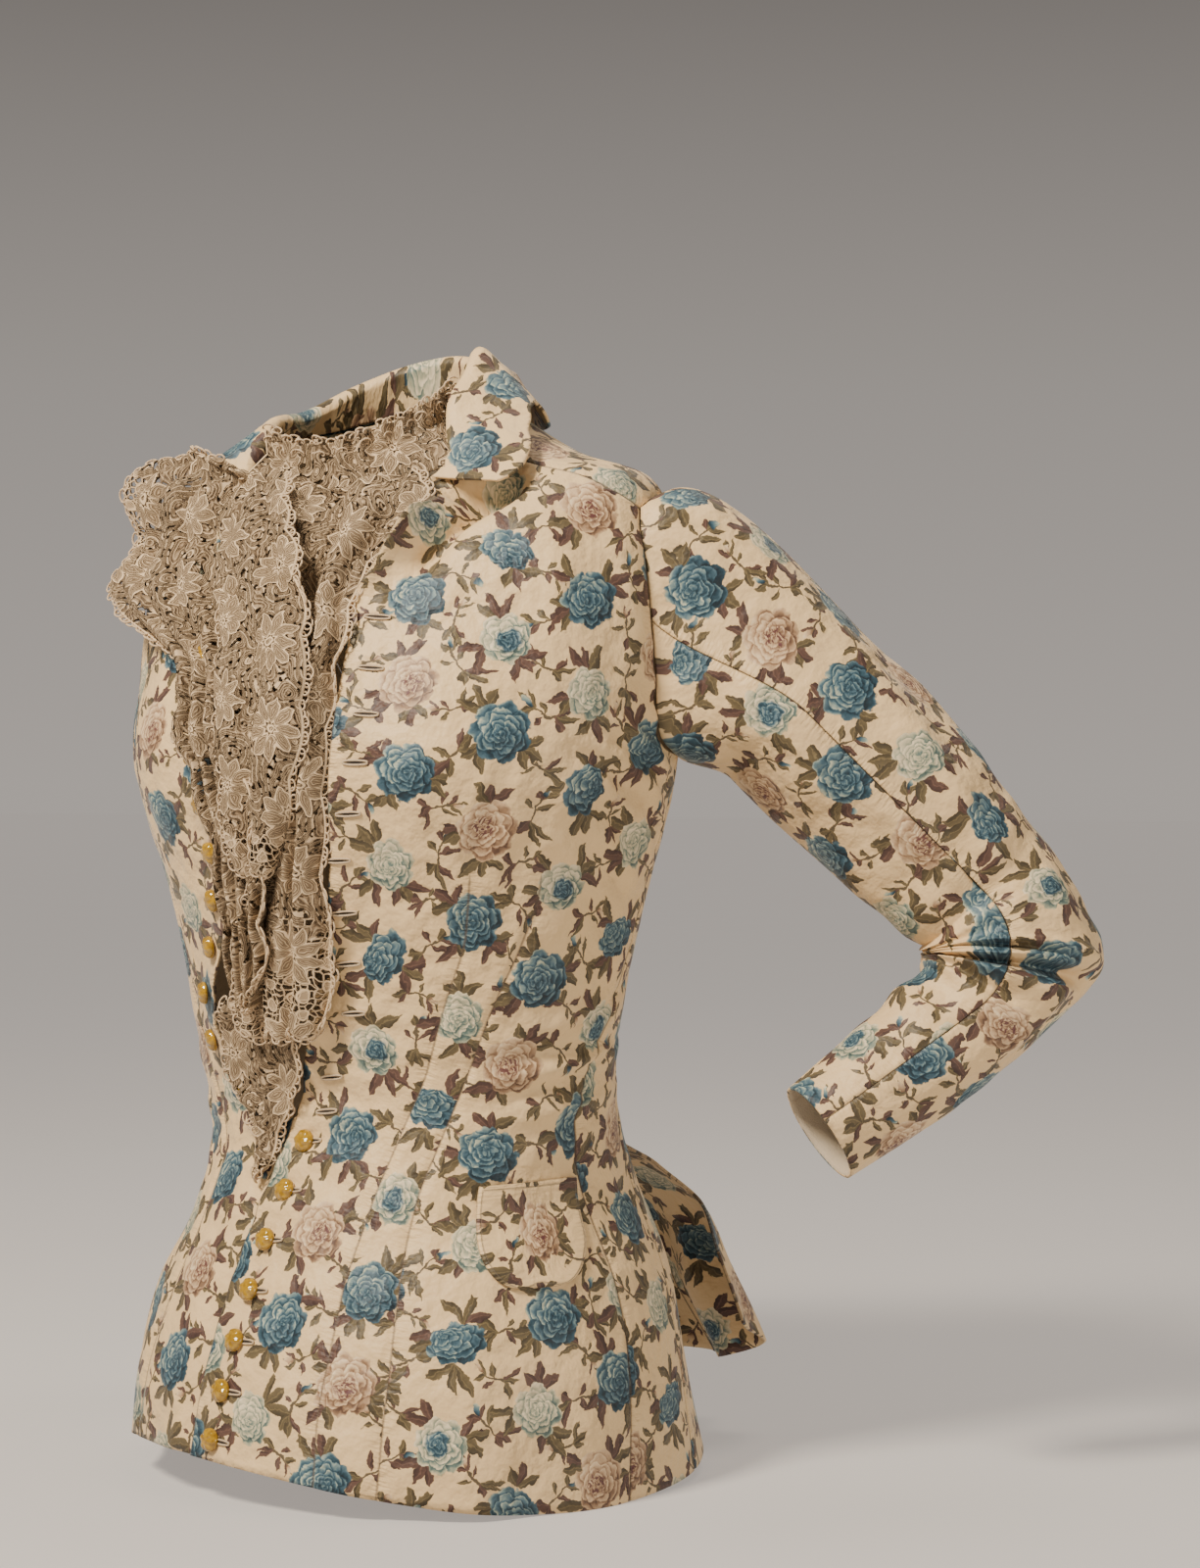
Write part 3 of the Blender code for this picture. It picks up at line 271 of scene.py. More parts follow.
POCKET = {"bottom_row": 2.02, "mouth_row": 3.14, "centre": 75.0, "half_width": 16.0,
          "bottom_share": 0.32, "round_share": 0.5, "lift": 0.0011, "rows": 6, "columns": 7,
          "gape": 0.0022, "gape_rows": (0.72, 0.28), "gape_across": (-0.35, 0.55),
          "turned_in": 0.0011, "turned_reach": 0.0012, "seam_fade": 0.0004}

BUTTON = {"radius": 0.0060, "height": 0.0046, "lowest": -0.524, "pitch": 0.0247, "count": 18,
          "closed": 7, "lap_angle": 2.8, "edge_angle": 4.5, "segments": 48, "rings": 16,
          "closed_seat": 0.00045, "open_seat": 0.0008, "petals": 6, "relief": 0.00022,
          "petal_twist": 1.5, "fullness": 0.85, "girdle": 0.22, "foot_radii": (0.86, 0.97),
          "foot_heights": (0.0, 0.06)}

# Lace sheets by row: angles of both sides, stand-off of both sides and fold depth
RUFFLE_RIGHT = ((12.35, -14, -45, 0.012, 0.014, 0.003), (11.6, -14, -57, 0.012, 0.016, 0.006),
                (10.6, -12, -59, 0.011, 0.014, 0.008), (9.6, -9, -57, 0.011, 0.013, 0.007),
                (9.1, -8, -50, 0.011, 0.012, 0.006), (8.7, -6, -36, 0.011, 0.012, 0.007),
                (8.2, -5, -19, 0.011, 0.012, 0.004), (7.8, -3, -16, 0.011, 0.012, 0.003),
                (7.0, -1, -11, 0.0115, 0.0125, 0.002), (6.4, 0, -9, 0.0125, 0.0125, 0.0015),
                (5.8, 0, -8.5, 0.0132, 0.0130, 0.001), (5.3, -3, -8, 0.0130, 0.0125, 0.0005))
FALL_LEFT = ((12.25, -3, 29, 0.0060, 0.0055, 0.0015), (11.2, -8, 23.5, 0.010, 0.008, 0.004),
             (10.2, -3, 17, 0.010, 0.008, 0.004), (9.2, 0, 11.5, 0.010, 0.0085, 0.0035),
             (8.0, 4, 13, 0.010, 0.009, 0.003), (6.9, 3, 13.5, 0.010, 0.010, 0.003),
             (6.3, 0, 12.5, 0.010, 0.011, 0.0025), (5.7, -6, 14, 0.011, 0.012, 0.002),
             (5.0, -7, 12, 0.013, 0.014, 0.002))
PLEAT_CENTRE = ((12.1, -24, -10, 0.0125, 0.0150, 0.002), (10.5, -19, -3.5, 0.0120, 0.0210, 0.004),
                (9.0, -12, 4, 0.0125, 0.0215, 0.004), (7.6, -6, 11, 0.0125, 0.0205, 0.004),
                (6.9, -4, 8.5, 0.0130, 0.0180, 0.003), (6.4, -4, 5, 0.0135, 0.0155, 0.002))
FALL_UNDER = ((5.3, -15, 3, 0.006, 0.0065, 0.0004), (4.7, -19, 3, 0.0060, 0.006, 0.0006),
              (4.2, -14, -1.5, 0.0055, 0.005, 0.0006), (3.8, -10.5, -4.5, 0.004, 0.004, 0.0004),
              (3.45, -8, -5, 0.0035, 0.0035, 0.0002))
LACE_SHEETS = {
    "lace_ruffle_right": {"rows": RUFFLE_RIGHT, "cells": (24, 11), "folds": 4.1, "phase": 1.39,
                          "lengthwise": True, "bite": (2.2, 11), "end_bites": 2,
                          "pleats": (4.5, 0.0045), "open": (0.27, 0.09, 0.72),
                          "cut_at": (0.0, 0.0)},
    "lace_fall_left": {"rows": FALL_LEFT, "cells": (28, 6), "folds": 1.5, "phase": 0.5,
                       "lengthwise": False, "bite": (1.1, 11), "end_bites": 3,
                       "pleats": (2.6, 0.0034), "open": (1.0, 0.14, -1.0),
                       "cut_at": (0.190, 0.039)},
    "lace_pleat_centre": {"rows": PLEAT_CENTRE, "cells": (18, 4), "folds": 0.5, "phase": -1.6,
                          "lengthwise": False, "bite": (1.3, 8), "end_bites": 2,
                          "pleats": (1.6, 0.0036), "open": (1.0, 0.06, -1.0),
                          "cut_at": (0.4, 0.1)},
    "lace_fall_under": {"rows": FALL_UNDER, "cells": (9, 6), "folds": 2.0, "phase": 0.0,
                        "lengthwise": False, "bite": (0.9, 4), "end_bites": 1,
                        "pleats": (2.0, 0.0014), "open": (1.0, 0.06, 0.0),
                        "cut_at": (0.6, 0.15)},
}
LACE_FINE = 8
HEXAGON_HALVES = ((0, 1, 2, 3), (0, 3, 4, 5))
LACE_DRAPE = {"lobe": 0.012, "lobe_window": (0.06, 0.06), "lobe_across": 0.3, "end": (0.86, 0.14),
              "end_bite": 0.13, "end_lift": 0.08, "pleat_double": (0.35, 1.1), "top_pleat": 0.55,
              "pleat_drift": ((0.35, 6.0), (0.12, 17.0)), "crimp": (0.0006, 9, 2.3),
              "open_fade": 0.1}
EDGING = {"pitch": 0.0042, "radius": 0.0014, "thread": 0.00052, "steps": 12, "sides": 6,
          "uneven": ((0.32, 0.137, 0.0), (0.22, 0.311, 1.0)), "stand_off": 0.8,
          "back_swing": 1.25, "lift": 0.35, "sewn_in": 3}
NECK_FRILL = {"from_angle": -42.0, "to_angle": 64.0, "inside": 0.0044, "lean": 0.35,
              "height": 0.013, "clear": 0.0008, "skirt_rows": 0.8, "skirt_angles": (45.0, 56.0),
              "skirt_lift": 0.0038, "waves": 11, "wave": 0.0032, "columns": 27, "steps": 4,
              "fine_columns": 201, "fine_steps": 32, "rise_share": 3, "lower_cord": 9,
              "cut_at": (0.8, 0.0)}

# Rolled seam and dart edges, and the lap's buttonholes as (angle, row) of their outer ends
SEAM_ROLL = {"depth": 0.0007, "reach": 0.0016}
BUTTONHOLES = ((19.5, 8.87), (21.5, 8.30), (23, 7.80), (22.5, 7.27), (21.5, 6.80), (19, 6.43),
               (19.5, 6.0), (20, 5.57), (21, 5.13), (13.5, 4.5), (11.5, 4.13))
BUTTONHOLE = {"length": 0.0125, "half_width": 0.0011, "thread": 0.00055, "off": 0.0006,
              "steps": 40, "sides": 8, "past_button": 4.6, "squareness": 1.12, "row_step": 0.05}

# The print's repeat in millimetres, and what a cell's column and row add to its number
PRINT_PITCH = (46.0, 49.0)
CELL_NUMBERS = (7.0, 13.0)

BACKDROP = ((0.0, (0.440, 0.400, 0.368)), (0.11, (0.340, 0.310, 0.285)),
            (0.24, (0.165, 0.150, 0.138)))
CAMERA = {"place": (1.199, -1.478, -0.193), "azimuth": 36.0, "focal": 82.08, "sensor": 36.0}
FLOOR_HALF = 30.0

# Materials by one noise: its scale, dark and light colour, and relief in metres or roughness
LINING = {"mottle": (0.05, 4.0), "dark": (0.42, 0.34, 0.24), "light": (0.56, 0.47, 0.35),
          "weave": (1.6, 2.0), "height": 0.0003}
GLASS = {"scale": 420.0, "dark": (0.22, 0.115, 0.006), "light": (0.43, 0.25, 0.012),
         "height": 0.0004, "low": 0.30, "high": 0.74}
PLAIN_RELIEF = 0.0002
PLAINS = {
    "silk_thread": (900.0, (0.34, 0.245, 0.15), (0.56, 0.43, 0.28), 0.6),
    "lace_cord": (700.0, (0.42, 0.305, 0.19), (0.60, 0.45, 0.29), 0.85),
    # The near-black sheet laid in each buttonhole's slit is painted shadow
    "painted_slit_shadow": (300.0, (0.012, 0.008, 0.006), (0.022, 0.015, 0.011), 0.9),
    "pale_floor": (3.0, (0.33, 0.31, 0.29), (0.35, 0.33, 0.31), 0.9),
}
FLOOR_GLOW = (0.359, 0.328, 0.304, 1.0)

# Lamps as the camera sees them: off the target to the right, away and up, then size and power
LAMP_TARGET = (0.0, 0.0, -0.25)
LAMP_COLOUR = (1.0, 0.90, 0.76)
LAMPS = {
    "key": (-1.15, -1.30, 1.70, 0.5, 119.0),
    "fill": (1.7, -1.2, -0.2, 1.2, 26.0),
    "top": (0.6, 0.5, 1.9, 1.0, 14.0),
}


# The body form

def cubic(share, low, at_low, high, at_high):
    """From low to high by a cubic with the given slopes at both ends."""
    square, cube = share**2, share**3
    return ((2 * cube - 3 * square + 1) * low + (cube - 2 * square + share) * at_low
            + (3 * square - 2 * cube) * high + (cube - square) * at_high)


def line_at(stations, place):
    """Value at each place of the smooth line through (place, value) stations, with no overshoot."""
    x, y = np.array(stations, float).T
    place = np.clip(np.asarray(place, float), x[0], x[-1])
    rise = np.diff(y) / np.diff(x)
    bends = np.sign(rise[:-1]) == np.sign(rise[1:])
    both = np.abs(rise[:-1]) + np.abs(rise[1:]) + TINY
    middle = np.where(bends, 2 * rise[:-1] * np.abs(rise[1:]) / both, 0.0)
    slope = np.concatenate([rise[:1], middle, rise[-1:]])
    i = np.clip(np.searchsorted(x, place, side="right") - 1, 0, len(x) - 2)
    gap = x[i + 1] - x[i]
    return cubic((place - x[i]) / gap, y[i], gap * slope[i], y[i + 1], gap * slope[i + 1])


def ease(value, start=0.0, reach=1.0):
    """0 at the start, 1 a reach further on and a smooth step between; a minus reach runs down."""
    value = np.clip((value - start) / reach, 0, 1)
    return value * value * (3 - 2 * value)


def hill(value, middle, reach, reach_above=None):
    """1 at the middle, falling to 0 as a bell of the given reach, which may differ above it."""
    if reach_above is not None:
        reach = np.where(value > middle, reach_above, reach)
    return np.exp(-(((value - middle) / reach) ** 2))


def unit(vector):
    return vector / np.linalg.norm(vector, axis=-1, keepdims=True)


def between(low, high, share):
    return low + (high - low) * share


def form_sizes(row):
    """The TORSO_COLUMNS at each row, by a cubic through the table's rows."""
    row = np.asarray(row, float)
    i = np.clip(np.floor(row).astype(int), 0, len(FORM) - 2)
    low, high = FORM[i], FORM[i + 1]
    before, after = FORM[np.maximum(i - 1, 0)], FORM[np.minimum(i + 2, len(FORM) - 1)]
    at_low = np.where((i == 0)[..., None], high - low, (high - before) / 2)
    at_high = np.where((i == len(FORM) - 2)[..., None], high - low, (after - low) / 2)
    return cubic((row - i)[..., None], low, at_low, high, at_high)


def torso(angle, row):
    """Outside of the bodice: a squared oval ring at each row, turned, tilted and full at the bust."""
    angle, row = np.broadcast_arrays(np.asarray(angle, float), np.asarray(row, float))
    up, front, back, side, turn, tilt, front_up, back_up, shift = np.moveaxis(form_sizes(row), -1, 0)
    s, c = np.sin(np.radians(angle)), np.cos(np.radians(angle))
    away = (angle + 180) % 360 - 180
    proud = BUST["proud"] * hill(row, BUST["row"], BUST["rise"]) * sum(
        hill(away, middle, BUST["spread"]) for middle in (BUST["angle"], -BUST["angle"]))
    power = 2 / BOXINESS
    x = np.sign(s) * np.abs(s) ** power * side + s * proud
    y = -np.sign(c) * np.abs(c) ** power * np.where(c > 0, front, back) - c * proud
    z = up + tilt * s + front_up * np.maximum(c, 0) ** 2 + back_up * np.maximum(-c, 0) ** 2
    s, c = np.sin(np.radians(turn)), np.cos(np.radians(turn))
    return np.stack([x * c - y * s + shift, x * s + y * c, z], -1)


def outward(form, angle, row):
    """Unit normals of a form, pointing away from the body."""
    angle, row = np.broadcast_arrays(np.asarray(angle, float), np.asarray(row, float))
    across = form(angle + ANGLE_STEP, row) - form(angle - ANGLE_STEP, row)
    along = form(angle, np.minimum(row + ROW_STEP, TOP_ROW)) - form(angle, np.maximum(row - ROW_STEP, 0))
    return unit(np.cross(across, along))


def dart_pinch(angle, row):
    """How far the two darts draw the cloth in, below their tops."""
    lines = sum(hill(angle, line_at(dart, row), DART["half_angle"])
                for dart in (FIRST_DART, SECOND_DART))
    return -DART["depth"] * ease(row, DART["top_row"], -DART["top_fade"]) * lines


def raised(form, angle, row, relief):
    """A form stood off by a relief, along the plain body's normal."""
    return form(angle, row) + outward(torso, angle, row) * relief[..., None]


def drag_folds(angle, row):
    """Small pulls of a worn, close bodice, in metres: the ridges of DRAGS, creases across the
    waist and soft upright flutes towards the hem."""
    relief = sum(hill(angle, *by_angle) * hill(row, *by_row) * height
                 * np.sin(row * per_row + angle * per_degree + phase)
                 for by_angle, by_row, per_row, per_degree, phase, height in DRAGS.values())
    creases = sum(hill(row, at + rise * (angle - WAIST_CREASE["side"]), WAIST_CREASE["reach"]) * depth
                  for at, rise, depth in WAIST_CREASES)
    flutes = np.sin(angle * HEM_FLUTES["per_degree"] + row * HEM_FLUTES["per_row"] + HEM_FLUTES["phase"])
    flutes = flutes * ease(row, *HEM_FLUTES["row"]) * hill(angle, *HEM_FLUTES["angle"])
    return relief - creases * hill(angle, *WAIST_CREASE["angle"]) + flutes * HEM_FLUTES["height"]


def sprung(angle, row, edge, side):
    """Relief of a front before it is worn: its free edge sprung out and its darts pinched."""
    return line_at(EDGE_SPRING, row) * hill(angle, edge, EDGE_SPRING_ANGLE) + dart_pinch(side * angle, row)


def from_left_edge(angle, row, more=0.0):
    """How far past the lap's reach of the left front's edge a place is, in degrees."""
    return angle - line_at(LEFT_EDGE, row) + LAP["reach"] + more


def left_front(angle, row):
    """The buttonhole side: the body form, pinched at the darts, its free edge sprung out."""
    return raised(torso, angle, row, sprung(angle, row, line_at(LEFT_EDGE, row), 1))


def right_front(angle, row):
    """The button side: like the other, but its edge sinks under the lap below the waist."""
    relief = sprung(angle, row, -line_at(RIGHT_EDGE, row), -1)
    relief = relief - LAP["depth"] * ease(from_left_edge(angle, row), 0, LAP["slope"])
    return raised(torso, angle, row, relief)


def worn_left(angle, row):
    """The left front with its drag folds, which all that is sewn on it follows, the hollows
    beside the sprung neck edge and under the collar's flap, and the ridge along the edge."""
    from_edge = angle - line_at(LEFT_EDGE, row)
    up = ease(row, *NECK_HOLLOW["change"])
    depth, off_edge, reach = (between(*ends, up) for ends in zip(NECK_HOLLOW["foot"], NECK_HOLLOW["top"]))
    window = ease(row, *NECK_HOLLOW["start"]) * ease(row, *NECK_HOLLOW["end"])
    hollow = depth * hill(from_edge, off_edge, reach) * window
    under_flap = FLAP_HOLLOW["depth"] * hill(row, *FLAP_HOLLOW["row"]) * hill(angle, *FLAP_HOLLOW["angle"])
    ridge = EDGE_RIDGE["height"] * hill(from_edge, *EDGE_RIDGE["off_edge"]) * hill(row, *EDGE_RIDGE["row"])
    return raised(left_front, angle, row, drag_folds(angle, row) - hollow - under_flap + ridge)


def worn_right(angle, row):
    """The right front with its drag folds, none of them under the lap."""
    clear = 1 - ease(from_left_edge(angle, row, FOLDS_CLEAR["lap_more"]), 0, LAP["slope"])
    clear = np.where(row < FOLDS_CLEAR["lap_top"], clear, 1.0)
    return raised(right_front, angle, row, drag_folds(-angle, row) * clear)


def worn_side(angle, row):
    """A side or side-back panel with the fronts' drag folds running on over it, up to the armhole."""
    fade = ease(row, UNDERARM_ROWS[-1], FOLDS_CLEAR["armhole_fade"])
    return raised(torso, angle, row, drag_folds(np.abs(angle), row) * fade)


def tail(angle, row):
    """The back panels' form: the body, thrown out below the waist in flutes over the bustle."""
    angle, row = np.broadcast_arrays(np.asarray(angle, float), np.asarray(row, float))
    off_centre = 180 - np.abs((angle + 180) % 360 - 180)
    edge = np.clip(off_centre / (180 - TAIL["vent_angle"]), 0, TAIL["past_vent"])
    below = ease(row, TAIL["top_row"], -TAIL["top_row"])
    reach = line_at(TAIL_REACH, row) * (1 + TAIL["centre_more"] * (1 - edge**2))
    reach = reach + TAIL["flute"] * below * np.cos(2 * math.pi * TAIL["flutes"] * edge)
    turn = np.radians(form_sizes(row)[..., TORSO_COLUMNS.index("turn")])
    rise = below * between(TAIL["centre_rise"], TAIL["edge_rise"], edge**2)
    return torso(angle, row) + np.stack([-np.sin(turn) * reach, np.cos(turn) * reach, rise], -1)


def seam_edge(angle, row, towards):
    """The angle a seam allowance short of a seam, on the side given by towards, +1 or -1."""
    reach = np.linalg.norm(torso(angle + 0.5, row) - torso(angle - 0.5, row), axis=-1)
    return angle + towards * SEAM / reach


def neck_row(angle, row):
    """Rows above the armhole, squeezed down towards the centre front to make the neckline's dip."""
    low, high = FRONT_NECK_ANGLES
    top = TOP_ROW - FRONT_NECK_DROP * ease(np.abs(angle), high, low - high)
    start = SHOULDER_SEAM[0][0]
    return np.where(row > start, start + (row - start) * (top - start) / (TOP_ROW - start), row)


# The cut: grids of (angle, row) places, coarse for the flat pattern and fine for the wall

def split(values, parts):
    """Each gap of a list cut into equal parts."""
    values = np.asarray(values, float)
    index = np.linspace(0, len(values) - 1, (len(values) - 1) * parts + 1)
    return np.interp(index, np.arange(len(values)), values)


def gather(cells, parts):
    """Shares across a stretch in cells x parts steps, closer together towards both its ends."""
    even = np.linspace(0, 1, cells * parts + 1)
    return even if parts == 1 else between(even, (1 - np.cos(math.pi * even)) / 2, GATHERED)


def front_grid(edge_stations, rows_split, columns_split):
    """Places of a front: free edge, two dart lines, then the side seam, armhole and shoulder."""
    rows = split(SKIRT_ROWS + UNDERARM_ROWS + ARMHOLE_FRONT_ROWS + SHOULDER_ROWS, rows_split)
    under, shoulder = UNDERARM_ROWS[-1], SHOULDER_SEAM[0][0]
    above = np.where(rows <= shoulder, line_at(ARMHOLE_FRONT, rows), line_at(SHOULDER_SEAM, rows))
    outer_line = seam_edge(np.where(rows <= under, line_at(SIDE_SEAM, rows), above), rows, -1)
    lines = [line_at(stations, rows) for stations in (edge_stations, FIRST_DART, SECOND_DART)]
    lines.append(outer_line)
    angles = []
    for low, high, cells in zip(lines[:-1], lines[1:], FRONT_CELLS):
        angles.extend(between(low, high, k) for k in gather(cells, columns_split)[:-1])
    angles = np.stack(angles + [outer_line], -1)
    return angles, neck_row(angles, rows[:, None] + 0 * angles)


def side_grid(rows_split, columns_split):
    """Places of the under-arm panel, whose top edge is the foot of the armhole."""
    left = split(SKIRT_ROWS + UNDERARM_ROWS, rows_split)
    right = split(SKIRT_ROWS + BACK_UNDERARM_ROWS, rows_split)
    share = gather(SIDE_CELLS, columns_split)
    rows = between(left[:, None], right[:, None], share)
    first = seam_edge(line_at(SIDE_SEAM, left), left, 1)
    last = seam_edge(line_at(SIDE_BACK_SEAM, right), right, -1)
    return between(first[:, None], last[:, None], share), rows


def side_back_grid(rows_split, columns_split):
    """Places of the side back, which runs up into the back of the armhole."""
    rows = split(SKIRT_ROWS + BACK_UNDERARM_ROWS + ARMHOLE_BACK_ROWS, rows_split)
    under = rows <= BACK_UNDERARM_ROWS[-1]
    first = np.where(under, line_at(SIDE_BACK_SEAM, rows), line_at(ARMHOLE_BACK, rows))
    first = seam_edge(first, rows, 1)
    last = seam_edge(line_at(BACK_SEAM, rows), rows, -1)
    share = gather(SIDE_CELLS, columns_split)
    angles = between(first[:, None], last[:, None], share)
    return angles, rows[:, None] + 0 * angles


def back_grid(rows_split, columns_split):
    """Places of a back: side-back seam, then round the armhole and along the shoulder."""
    low = split(SKIRT_ROWS + BACK_UNDERARM_ROWS + ARMHOLE_BACK_ROWS, rows_split)
    crown, crown_angle = np.array(ARMHOLE_CROWN).T
    high = split((SHOULDER_SEAM[0][0],) + SHOULDER_ROWS, rows_split)[1:]
    crown, crown_angle = split(crown, rows_split)[1:], split(crown_angle, rows_split)[1:]
    edge_rows = np.concatenate([low, crown, high])
    first = np.concatenate([line_at(BACK_SEAM, low), crown_angle, line_at(SHOULDER_SEAM, high)])
    first = seam_edge(first, edge_rows, 1)
    centre = split((ARMHOLE_BACK_ROWS[-1],) + CENTRE_BACK_ROWS, rows_split)[1:]
    centre_rows = np.concatenate([low, centre])
    last = seam_edge(180.0 + 0 * first, centre_rows, -1)
    share = gather(BACK_CELLS, columns_split)
    rows = between(edge_rows[:, None], centre_rows[:, None], 1 - (1 - share) ** BACK_ROWS_POWER)
    return between(first[:, None], last[:, None], share), rows


def lay_flat(points, darts=(), dart_rows=0):
    """Flat pattern of a grid of points in metres, as one (rows, columns, 2) grid for each stretch
    between darts. It starts as lengths along and across the grid, and every side and diagonal
    of a cell then pulls towards its own length, with the stretches joined above the darts."""
    across = np.linalg.norm(np.diff(points, axis=1), axis=-1)
    along = np.linalg.norm(np.diff(points, axis=0), axis=-1)
    middle = points.shape[1] // 3
    u = np.pad(np.cumsum(across, axis=1), ((0, 0), (1, 0)))
    v = np.pad(np.cumsum(along, axis=0), ((1, 0), (0, 0)))
    flat = np.stack([u - u[:, middle:middle + 1], between(v, v[:, middle:middle + 1], 0.5)], -1)
    cuts = (0, *darts, points.shape[1] - 1)
    strips = [flat[:, low:high + 1].copy() for low, high in zip(cuts[:-1], cuts[1:])]
    spans = [points[:, low:high + 1] for low, high in zip(cuts[:-1], cuts[1:])]
    everything = slice(None)
    ties = (((everything, slice(None, -1)), (everything, slice(1, None))),
            ((slice(None, -1), everything), (slice(1, None), everything)),
            ((slice(None, -1), slice(None, -1)), (slice(1, None), slice(1, None))),
            ((slice(None, -1), slice(1, None)), (slice(1, None), slice(None, -1))))
    lengths = [[np.linalg.norm(span[b] - span[a], axis=-1) for a, b in ties] for span in spans]
    for _ in range(RELAXING["rounds"]):
        for strip, length in zip(strips, lengths):
            for (a, b), rest in zip(ties, length):
                gap = strip[b] - strip[a]
                now = np.linalg.norm(gap, axis=-1) + TINY
                move = gap * ((now - rest) / now * RELAXING["pull"])[..., None]
                strip[a] += move
                strip[b] -= move
        for left, right in zip(strips[:-1], strips[1:]):
            joined = (left[dart_rows:, -1] + right[dart_rows:, 0]) / 2
            left[dart_rows:, -1] = joined
            right[dart_rows:, 0] = joined
    return strips


def finer(grid, row_index, column_index):
    """A grid read at fractional row and column places, straight between its points."""
    r = np.clip(np.floor(row_index).astype(int), 0, grid.shape[0] - 2)
    c = np.clip(np.floor(column_index).astype(int), 0, grid.shape[1] - 2)
    fr = (row_index - r)[:, None, None]
    fc = (column_index - c)[None, :, None]
    r, c = r[:, None], c[None, :]
    low = between(grid[r, c], grid[r, c + 1], fc)
    high = between(grid[r + 1, c], grid[r + 1, c + 1], fc)
    return between(low, high, fr)


def corners(place):
    """The four corners of each cell of a grid of flat places, (rows, columns, 4, 2)."""
    return np.stack([place[:-1, :-1], place[:-1, 1:], place[1:, 1:], place[1:, :-1]], 2)


def cell_pattern(strips, cells, rows_split, columns_split, start):
    """Pattern places of the four corners of each fine cell."""
    steps = strips[0].shape[0] - 1
    row_index = np.linspace(0, steps, steps * rows_split + 1)
    parts = [corners(finer(strip, row_index, gather(count, columns_split) * count))
             for strip, count in zip(strips, cells)]
    return np.concatenate(parts, 1) + np.array(start)


def cut_place(piece, side=1):
    """Where a piece is cut from the printed cloth, by its side."""
    place, moved = np.array(CUT_PLACES[piece])
    return place + side * moved


# Sleeves and collar

def armhole_loop(side):
    """Points round one armhole, closed, down the front and up the back."""
    front = [(row, line_at(ARMHOLE_FRONT, row))
             for row in np.linspace(ARMHOLE_FRONT[-1][0], ARMHOLE_FRONT[0][0], ARMHOLE_POINTS["front"])]
    foot = [(between(UNDERARM_ROWS[-1], BACK_UNDERARM_ROWS[-1], k),
             between(SIDE_SEAM[-1][1], SIDE_BACK_SEAM[-1][1], k))
            for k in np.linspace(0, 1, ARMHOLE_POINTS["foot"])]
    back = [(row, line_at(ARMHOLE_BACK, row))
            for row in np.linspace(ARMHOLE_BACK[0][0], ARMHOLE_BACK[-1][0], ARMHOLE_POINTS["back"])]
    rows, angles = np.array(front + foot + back + list(ARMHOLE_CROWN)).T
    return torso(side * angles, rows)


def arm_rings(arm, finer_by):
    """Centres, radial and sideways axes, half widths and place along the arm of the rings below
    the cap: a straight upper arm, a round bend and a straight forearm."""
    start, elbow, cuff = (np.array(arm[key]) for key in ("start", "elbow", "cuff"))
    first, second = unit(elbow - start), unit(cuff - elbow)
    sideways = unit(np.cross(first, second))
    turn = math.acos(float(first @ second))
    radius = SLEEVE["elbow_radius"]
    back_off = radius * math.tan(turn / 2)
    bend_in, bend_out = elbow - first * back_off, elbow + second * back_off
    pivot = bend_in + np.cross(sideways, first) * radius
    lengths = (np.linalg.norm(bend_in - start), radius * turn, np.linalg.norm(cuff - bend_out))
    upper, bend, lower = (SLEEVE[key] * finer_by for key in ("upper_rows", "elbow_rows", "lower_rows"))
    rings = [(between(start, bend_in, share), -np.cross(sideways, first), lengths[0] * share)
             for share in (k / upper for k in range(upper))]
    for share in (k / bend for k in range(bend + 1)):
        direction = first * math.cos(turn * share) + np.cross(sideways, first) * math.sin(turn * share)
        radial = -np.cross(sideways, direction)
        rings.append((pivot + radial * radius, radial, lengths[0] + lengths[1] * share))
    for share in (k / lower for k in range(1, lower + 1)):
        rings.append((between(bend_out, cuff, share), -np.cross(sideways, second),
                      lengths[0] + lengths[1] + lengths[2] * share))
    centres, radials, alongs = (np.array(values) for values in zip(*rings))
    along, sizes = alongs / sum(lengths), np.array(SLEEVE_SIZES)
    inner_half, outer_half = (line_at(sizes[:, (0, column)], along)[:, None] for column in (1, 2))
    return centres, radials, sideways, inner_half, outer_half, first, along


